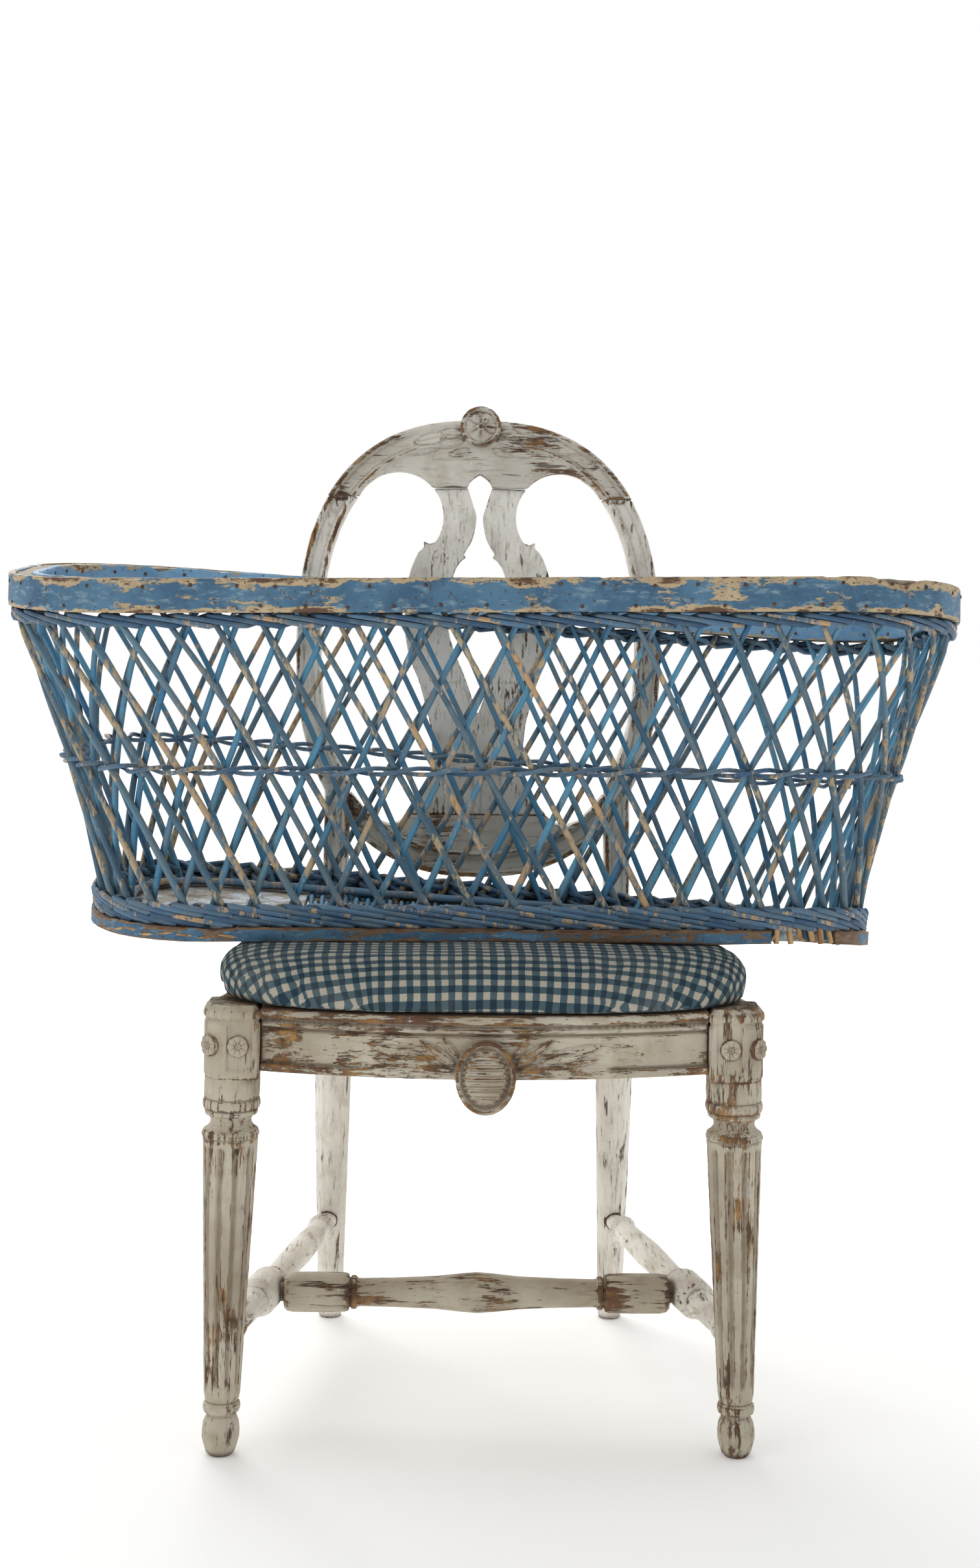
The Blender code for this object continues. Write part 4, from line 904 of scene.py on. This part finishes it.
FRONT_LEG = (   # radius and height, from the floor up to the block
    (0.0100, 0.0), (0.0128, 0.003), (0.0148, 0.009), (0.0163, 0.016), (0.0165, 0.022), (0.0156, 0.029),
    (0.0136, 0.0335), (0.0126, 0.0355), (0.0130, 0.0368), (0.0156, 0.0385), (0.0165, 0.0420), (0.0160, 0.0455),
    (0.0140, 0.0475), (0.0150, 0.050), (0.0160, 0.056), (0.0241, 0.274), (0.0244, 0.2785), (0.0238, 0.2795),
    (0.0250, 0.2805), (0.0254, 0.2825), (0.0240, 0.2860), (0.0206, 0.2885), (0.0184, 0.2915), (0.0179, 0.2945),
    (0.0190, 0.2972), (0.0212, 0.2990), (0.0228, 0.2998), (0.0230, 0.3005), (0.0234, 0.3022), (0.0230, 0.3038),
    (0.0226, 0.3043), (0.0246, 0.3052), (0.0254, 0.3080), (0.0254, 0.3105), (0.0246, 0.3132), (0.0236, 0.3140),
    (0.0244, 0.3152), (0.0247, 0.3250), (0.0243, 0.3340))


def smooth_profile(profile, step):
    """The profile with points every `step` along, on straight runs between its own points."""
    points = []
    for (r0, d0), (r1, d1) in zip(profile, profile[1:]):
        count = max(2, round(abs(d1 - d0) / step))
        points += [(r0 + (r1 - r0) * i / count, d0 + (d1 - d0) * i / count) for i in range(count)]
    return points + [profile[-1]]


def make_front_leg(side, sign):
    shape, rings = Shape(), []
    for radius, z in smooth_profile(FRONT_LEG, 0.002):
        splay = FOOT_SPLAY * max(0.0, 1 - z / BLOCK_BOTTOM)
        fluted = pulse(z, 0.058, 0.066) * (1 - pulse(z, 0.270, 0.2765))
        ring = []
        for k in range(144):
            angle = 2 * math.pi * k / 144
            scoop = max(0.0, -math.cos(FLUTES * (angle + math.pi / 2)) - 0.30) / 0.70
            at = radius - 0.0030 * (radius / 0.022) * fluted * scoop ** 0.5
            rough = 0.00025 * wobble((math.cos(angle), math.sin(angle), z * 60), 3.0, sign).x
            ring.append((sign * (LEG_X + splay) + (at + rough) * math.cos(angle),
                         LEG_Y + (at + rough) * math.sin(angle), z))
        rings.append(ring)
    shape.loft(rings, 1.0 + sign)
    rings = []
    heights = [0.3335, 0.3352, 0.3366] + [0.338 + 0.0019 * i for i in range(27)]
    heights += [0.3890, 0.3905, 0.3925, 0.3950, 0.3975]
    for z in heights:
        half = BLOCK_HALF - 0.0012 * (1 - pulse(z, 0.3335, 0.3372)) - 0.0012 * ridge(z, 0.3845, 0.0016)
        half += 0.0008 * ridge(z, 0.3895, 0.0040) - 0.0042 * pulse(z, 0.3915, 0.3985)
        ring = []
        for corner in range(4):
            side_x, side_y = (1 if corner in (0, 3) else -1), (1 if corner in (0, 1) else -1)
            outer = side_x == sign and side_y == -1
            radius = BLOCK_OUTER_RADIUS if outer else BLOCK_INNER_RADIUS
            for i in range(16):
                angle = math.radians(90 * corner + 90 * i / 15)
                ring.append((sign * LEG_X + side_x * (half - radius) + radius * math.cos(angle),
                             LEG_Y + side_y * (half - radius) + radius * math.sin(angle), z))
            if corner == 2:
                last_radius = BLOCK_OUTER_RADIUS if sign > 0 else BLOCK_INNER_RADIUS
                start, end = ring[-1], (sign * LEG_X + half - last_radius, LEG_Y - half)
                for share in [i / 22 for i in range(1, 22)]:
                    x = start[0] + (end[0] - start[0]) * share
                    across = (x - sign * LEG_X) * sign
                    panel = pulse(across, -0.0190, -0.0176) * (1 - pulse(z, 0.3815, 0.3825)) * pulse(z, 0.3405, 0.3415)
                    panel *= 1 - pulse(across, 0.0050, 0.0064)
                    ring.append((x, start[1] + (end[1] - start[1]) * share + 0.0011 * panel, z))
        rings.append(ring)
    shape.loft(rings, 1.0 + sign)
    shape.build(f"front_leg_{side}", FRONT_PAINT, "chair", (f"front_leg_{side}",), 40)

    for number, (x, y, turn) in enumerate(((-sign * 0.0060, -BLOCK_HALF + 0.0009, 0.0),
                                           (sign * (BLOCK_HALF - 0.0058), -BLOCK_HALF + 0.0058, sign * 45.0)), 1):
        centre = Vector((sign * LEG_X + x, LEG_Y + y, 0.3625))
        spin = Matrix.Rotation(math.radians(turn), 3, "Z")
        flower, rings = Shape(), []
        for i in range(19):
            share = i / 18
            ring = []
            for k in range(72):
                angle = 2 * math.pi * k / 72
                edge = 0.0098 * (0.90 + 0.10 * abs(math.cos(4 * angle)) ** 0.5)
                petal = abs(math.cos(4 * angle)) ** 0.6
                height = 0.0026 * ridge(share, 0.62, 0.46) * (0.55 + 0.45 * petal)
                height += 0.0024 * ridge(share, 0.0, 0.30)
                if share > 0.97:
                    height = -0.0015
                ring.append(centre + spin @ Vector((edge * share * math.cos(angle), -0.0002 - height,
                                                    edge * share * math.sin(angle))))
            rings.append(ring)
        flower.loft(rings, 3.0)
        flower.build(f"rosette_{side}_{number}", FRONT_PAINT, "chair", sharp=80)


def make_turning(name, profile, start, end, material, sides=40):
    """A turned bar whose profile lists radius and distance from its start."""
    start, end = Vector(start), Vector(end)
    along = (end - start).normalized()
    side = along.cross(Vector((0, 0, 1))).normalized()
    up = side.cross(along)
    shape, rings = Shape(), []
    for radius, distance in smooth_profile(profile, 0.003):
        rings.append([start + along * distance + side * (radius * math.cos(2 * math.pi * k / sides))
                      + up * (radius * math.sin(2 * math.pi * k / sides)) for k in range(sides)])
    shape.loft(rings, 5.0)
    shape.build(name, material, "chair", (name,), 40)


def make_stretchers():
    tenon, slim, collar = 0.0085, 0.0110, 0.0140
    starts = {}
    for side, sign in (("left", -1), ("right", 1)):
        splay = FOOT_SPLAY * (1 - STRETCHER_Z / BLOCK_BOTTOM)
        front = Vector((sign * (LEG_X + splay), LEG_Y, STRETCHER_Z))
        rear = Vector((sign * REAR_X, leg_y(STRETCHER_Z), STRETCHER_Z))
        step = (rear - front).normalized()
        start, end = front + step * 0.008, rear - step * 0.004
        length, middle = (end - start).length, (rear - front).length * CROSS_SHARE - 0.008
        half = [(0.0180, middle - 0.019), (0.0182, middle), (0.0180, middle + 0.019), (0.0158, middle + 0.024)]
        profile = [(tenon, 0.0), (tenon, 0.016), (0.0125, 0.018), (0.0132, 0.021), (0.0125, 0.024), (slim, 0.026),
                   (0.0118, (middle + 0.02) / 2), (slim, middle - 0.041), (0.0125, middle - 0.038),
                   (collar, middle - 0.034), (0.0125, middle - 0.030), (0.0115, middle - 0.028),
                   (0.0158, middle - 0.024)] + half + [
                   (0.0115, middle + 0.028), (0.0125, middle + 0.030), (collar, middle + 0.034),
                   (0.0125, middle + 0.038), (slim, middle + 0.041), (0.0132, (middle + length) / 2),
                   (slim, length - 0.046), (0.0125, length - 0.043), (collar, length - 0.039),
                   (0.0125, length - 0.035), (slim, length - 0.032), (0.0112, length - 0.026),
                   (tenon, length - 0.022), (tenon, length)]
        make_turning(f"side_stretcher_{side}", profile, start, end, DEEP_PAINT)
        starts[side] = start + step * middle
    start, end = starts["left"] + Vector((0.008, 0, 0)), starts["right"] - Vector((0.008, 0, 0))
    length = (end - start).length
    half = [(tenon, 0.0), (tenon, 0.0108), (0.0140, 0.0118), (0.0168, 0.0145), (0.0180, 0.0200), (0.0182, 0.045),
            (0.0176, 0.068), (0.0165, 0.0715), (0.0135, 0.0725), (0.0135, 0.0735), (0.0150, 0.0745),
            (0.0153, 0.0765), (0.0148, 0.0785), (0.0130, 0.0800), (0.0126, 0.083), (0.0132, length * 0.30),
            (0.0148, length * 0.40), (0.0172, length * 0.46), (0.0182, length * 0.495)]
    profile = half + [(radius, length - along) for radius, along in reversed(half)]
    make_turning("cross_stretcher", profile, start, end, RAIL_PAINT)


def paint(material, *names):
    for name in names:
        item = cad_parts[name]
        if not item.material_slots:
            item.data.materials.append(material)
        for place in item.material_slots:
            place.link = "OBJECT"
            place.material = material


def make_chair():
    for side, sign in (("left", -1), ("right", 1)):
        make_front_leg(side, sign)
        refined(f"rear_leg_{side}", f"rear_stile_{side}", UPRIGHT_PAINT, "chair", 0.0016, stile_relief)
        refined(f"side_rail_{side}", f"side_rail_{side}_carved", DEEP_PAINT, "chair", 0.0016, side_rail_relief)
    refined("front_rail", "front_rail_carved", RAIL_PAINT, "chair", 0.0011, front_rail_relief, 3)
    refined("crest_rail", "crest_rail_carved", LEVEL_PAINT, "chair", 0.0011, crest_relief, 3, crest_outline())
    refined("back_lower_rail", "back_lower_rail_carved", LEVEL_PAINT, "chair", 0.0014, lower_rail_relief, 3)
    refined("back_splat", "back_splat_carved", UPRIGHT_PAINT, "chair", 0.0012, splat_relief, 3, splat_outline())
    make_stretchers()
    paint(LEVEL_PAINT, "rear_rail")
    paint(RAW_WOOD, "front_corner_block_left", "front_corner_block_right", "rear_corner_block_left",
          "rear_corner_block_right", "seat_frame_front", "seat_frame_left", "seat_frame_right", "seat_frame_rear")
    paint(JUTE, *[f"webbing_{way}_{k}" for way in ("lengthwise", "crosswise") for k in (1, 2, 3)])
    paint(BOARD_PAINT, "base_board_left", "base_board_right")


# ---------------------------------------------------------------- the cushion
def make_cushion():
    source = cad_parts["seat_cushion"]
    piece = bpy.data.objects.new("gingham_cushion", source.data.copy())
    bpy.context.scene.collection.objects.link(piece)
    remesh = piece.modifiers.new("Remesh", "REMESH")
    remesh.mode = "VOXEL"
    remesh.voxel_size = 0.005
    middle = Vector((0.0, -0.062, 0.4053))
    mesh = evaluated(piece)
    piece.modifiers.clear()
    piece.data = mesh
    for vertex in mesh.vertices:
        side = vertex.co - middle
        vertex.co = middle + Vector((side.x * 0.985, side.y * 0.985, side.z))
    rest = [vertex.co.copy() for vertex in mesh.vertices]
    cloth = piece.modifiers.new("Cloth", "CLOTH")
    cloth.settings.use_pressure = True
    cloth.settings.uniform_pressure_force = 4.0
    cloth.settings.effector_weights.gravity = 0.0
    cloth.settings.quality = 6
    scene = bpy.context.scene
    for number in range(1, 21):
        scene.frame_set(number)
    grown = evaluated(piece)
    piece.modifiers.clear()
    piece.data = grown
    scene.frame_set(1)
    mesh = piece.data
    for vertex, start in zip(mesh.vertices, rest):
        move = 0.4 * (vertex.co - start)
        if move.length > 0.003:
            move = move.normalized() * 0.003
        vertex.co = start + move
        point = vertex.co
        under = abs(point.x) < 0.35 and abs(point.y - BASKET_Y) < 0.145
        if under:
            limit = settled((point.x, point.y, BASE_Z)).z - 0.0006
            point.z = min(point.z, max(limit, 0.411))
        point.z = max(point.z, 0.4050)
        low = pulse(point.z, 0.424, 0.405)
        if abs(point.x) > side_face(point.y) - 0.012 or point.y < front_face(point.x) + 0.030:
            point.z = max(0.3968, point.z - 0.0095 * low)
        if abs(point.x) > 0.12:
            point.x += math.copysign(0.0065, point.x) * pulse(abs(point.x), 0.12, side_face(point.y))
        point.y -= (0.006 + 0.011 * (1 - min(1.0, abs(point.x) / 0.19) ** 2)) * pulse(-point.y, 0.14, 0.215)
    finer = piece.modifiers.new("Finer", "SUBSURF")
    finer.levels = 1
    mesh = evaluated(piece)
    bpy.data.objects.remove(piece)
    mesh.name = "gingham_cushion"
    top = 0.4420
    cloth_place = mesh.attributes.new("cloth", "FLOAT_VECTOR", "POINT")
    values = []
    for vertex in mesh.vertices:
        point, normal = vertex.co, vertex.normal
        lump = wobble((point.x * 14, point.y * 14, point.z * 6), 1.0, 4.0).x
        crease = wobble((point.x * 60, point.y * 60, point.z * 18), 1.0, 9.0).x
        if point.z > 0.409 and not (abs(point.x) < 0.34 and abs(point.y - BASKET_Y) < 0.14):
            vertex.co = point + normal * (0.0010 * lump + 0.0005 * crease)
        drop = max(0.0, top - point.z)
        flat = Vector((normal.x, normal.y, 0.0))
        flat = flat.normalized() * pulse(flat.length, 0.25, 0.6) if flat.length > 1e-4 else flat
        values += [point.x + drop * flat.x, point.y + drop * flat.y, 0.0]
    cloth_place.data.foreach_set("vector", values)
    piece = finish_piece("gingham_cushion", mesh, CLOTH, "seat", ("seat_cushion",), 80)


# ---------------------------------------------------------------- floor, light and camera
def make_stage():
    bpy.ops.mesh.primitive_plane_add(size=14, location=(0, 0, 0))
    floor = bpy.context.object
    floor.name = "studio_floor"
    n = Nodes("pale_floor_with_painted_glow", 0.9)
    n.finish((0.92, 0.92, 0.91))
    # Painted light: the floor glows a little near the chair and more from 0.6 to 2.2 m out, fading into the white
    # backdrop.
    distance = n.add("ShaderNodeVectorMath", {0: n.place}, operation="LENGTH").outputs["Value"]
    glow = n.math("ADD", n.math("MULTIPLY", n.step(distance, 0.6, 2.2), 0.34), 0.14)
    n.feed(n.shader.inputs["Emission Color"], (1.0, 1.0, 1.0))
    n.feed(n.shader.inputs["Emission Strength"], glow)
    floor.data.materials.append(n.material)
    world = bpy.data.worlds.new("studio")
    bpy.context.scene.world = world
    world.use_nodes = True
    tree = world.node_tree
    sky = tree.nodes["Background"]
    sky.inputs["Color"].default_value = (1.0, 1.0, 1.0, 1.0)
    away = tree.nodes.new("ShaderNodeSeparateXYZ")
    tree.links.new(tree.nodes.new("ShaderNodeTexCoord").outputs["Generated"], away.inputs[0])
    shade = tree.nodes.new("ShaderNodeMapRange")
    for socket, value in (("From Min", -0.5), ("From Max", 0.35), ("To Min", 0.60), ("To Max", 1.0)):
        shade.inputs[socket].default_value = value
    tree.links.new(away.outputs[1], shade.inputs["Value"])
    tree.links.new(shade.outputs[0], sky.inputs["Strength"])
    for name, place, aim, size, power in (("window", (-0.9, 2.4, 2.1), (0, 0, 0.5), 1.8, 42),
                                          ("fill", (-2.0, -1.9, 1.6), (0, 0, 0.5), 1.8, 9)):
        light = bpy.data.lights.new(name, "AREA")
        light.size, light.energy = size, power
        item = bpy.data.objects.new(name, light)
        item.location = place
        item.rotation_euler = (Vector(aim) - Vector(place)).to_track_quat("-Z", "Y").to_euler()
        item.visible_camera = False
        bpy.context.scene.collection.objects.link(item)
    scene = bpy.context.scene
    scene.view_settings.view_transform = "Standard"
    lens = bpy.data.cameras.new("front_camera")
    lens.sensor_width, lens.lens, lens.shift_y = 36.0, 55.04, -0.1426
    camera = bpy.data.objects.new("front_camera", lens)
    camera.matrix_world = (Matrix.Translation((-0.0615, -2.323, 0.788)) @ Matrix.Rotation(math.radians(-1.64), 4, "Z")
                           @ Matrix.Rotation(math.pi / 2, 4, "X") @ Matrix.Rotation(math.radians(0.8), 4, "Z"))
    scene.collection.objects.link(camera)
    scene.camera = camera


make_bassinet()
make_chair()
make_cushion()
make_stage()
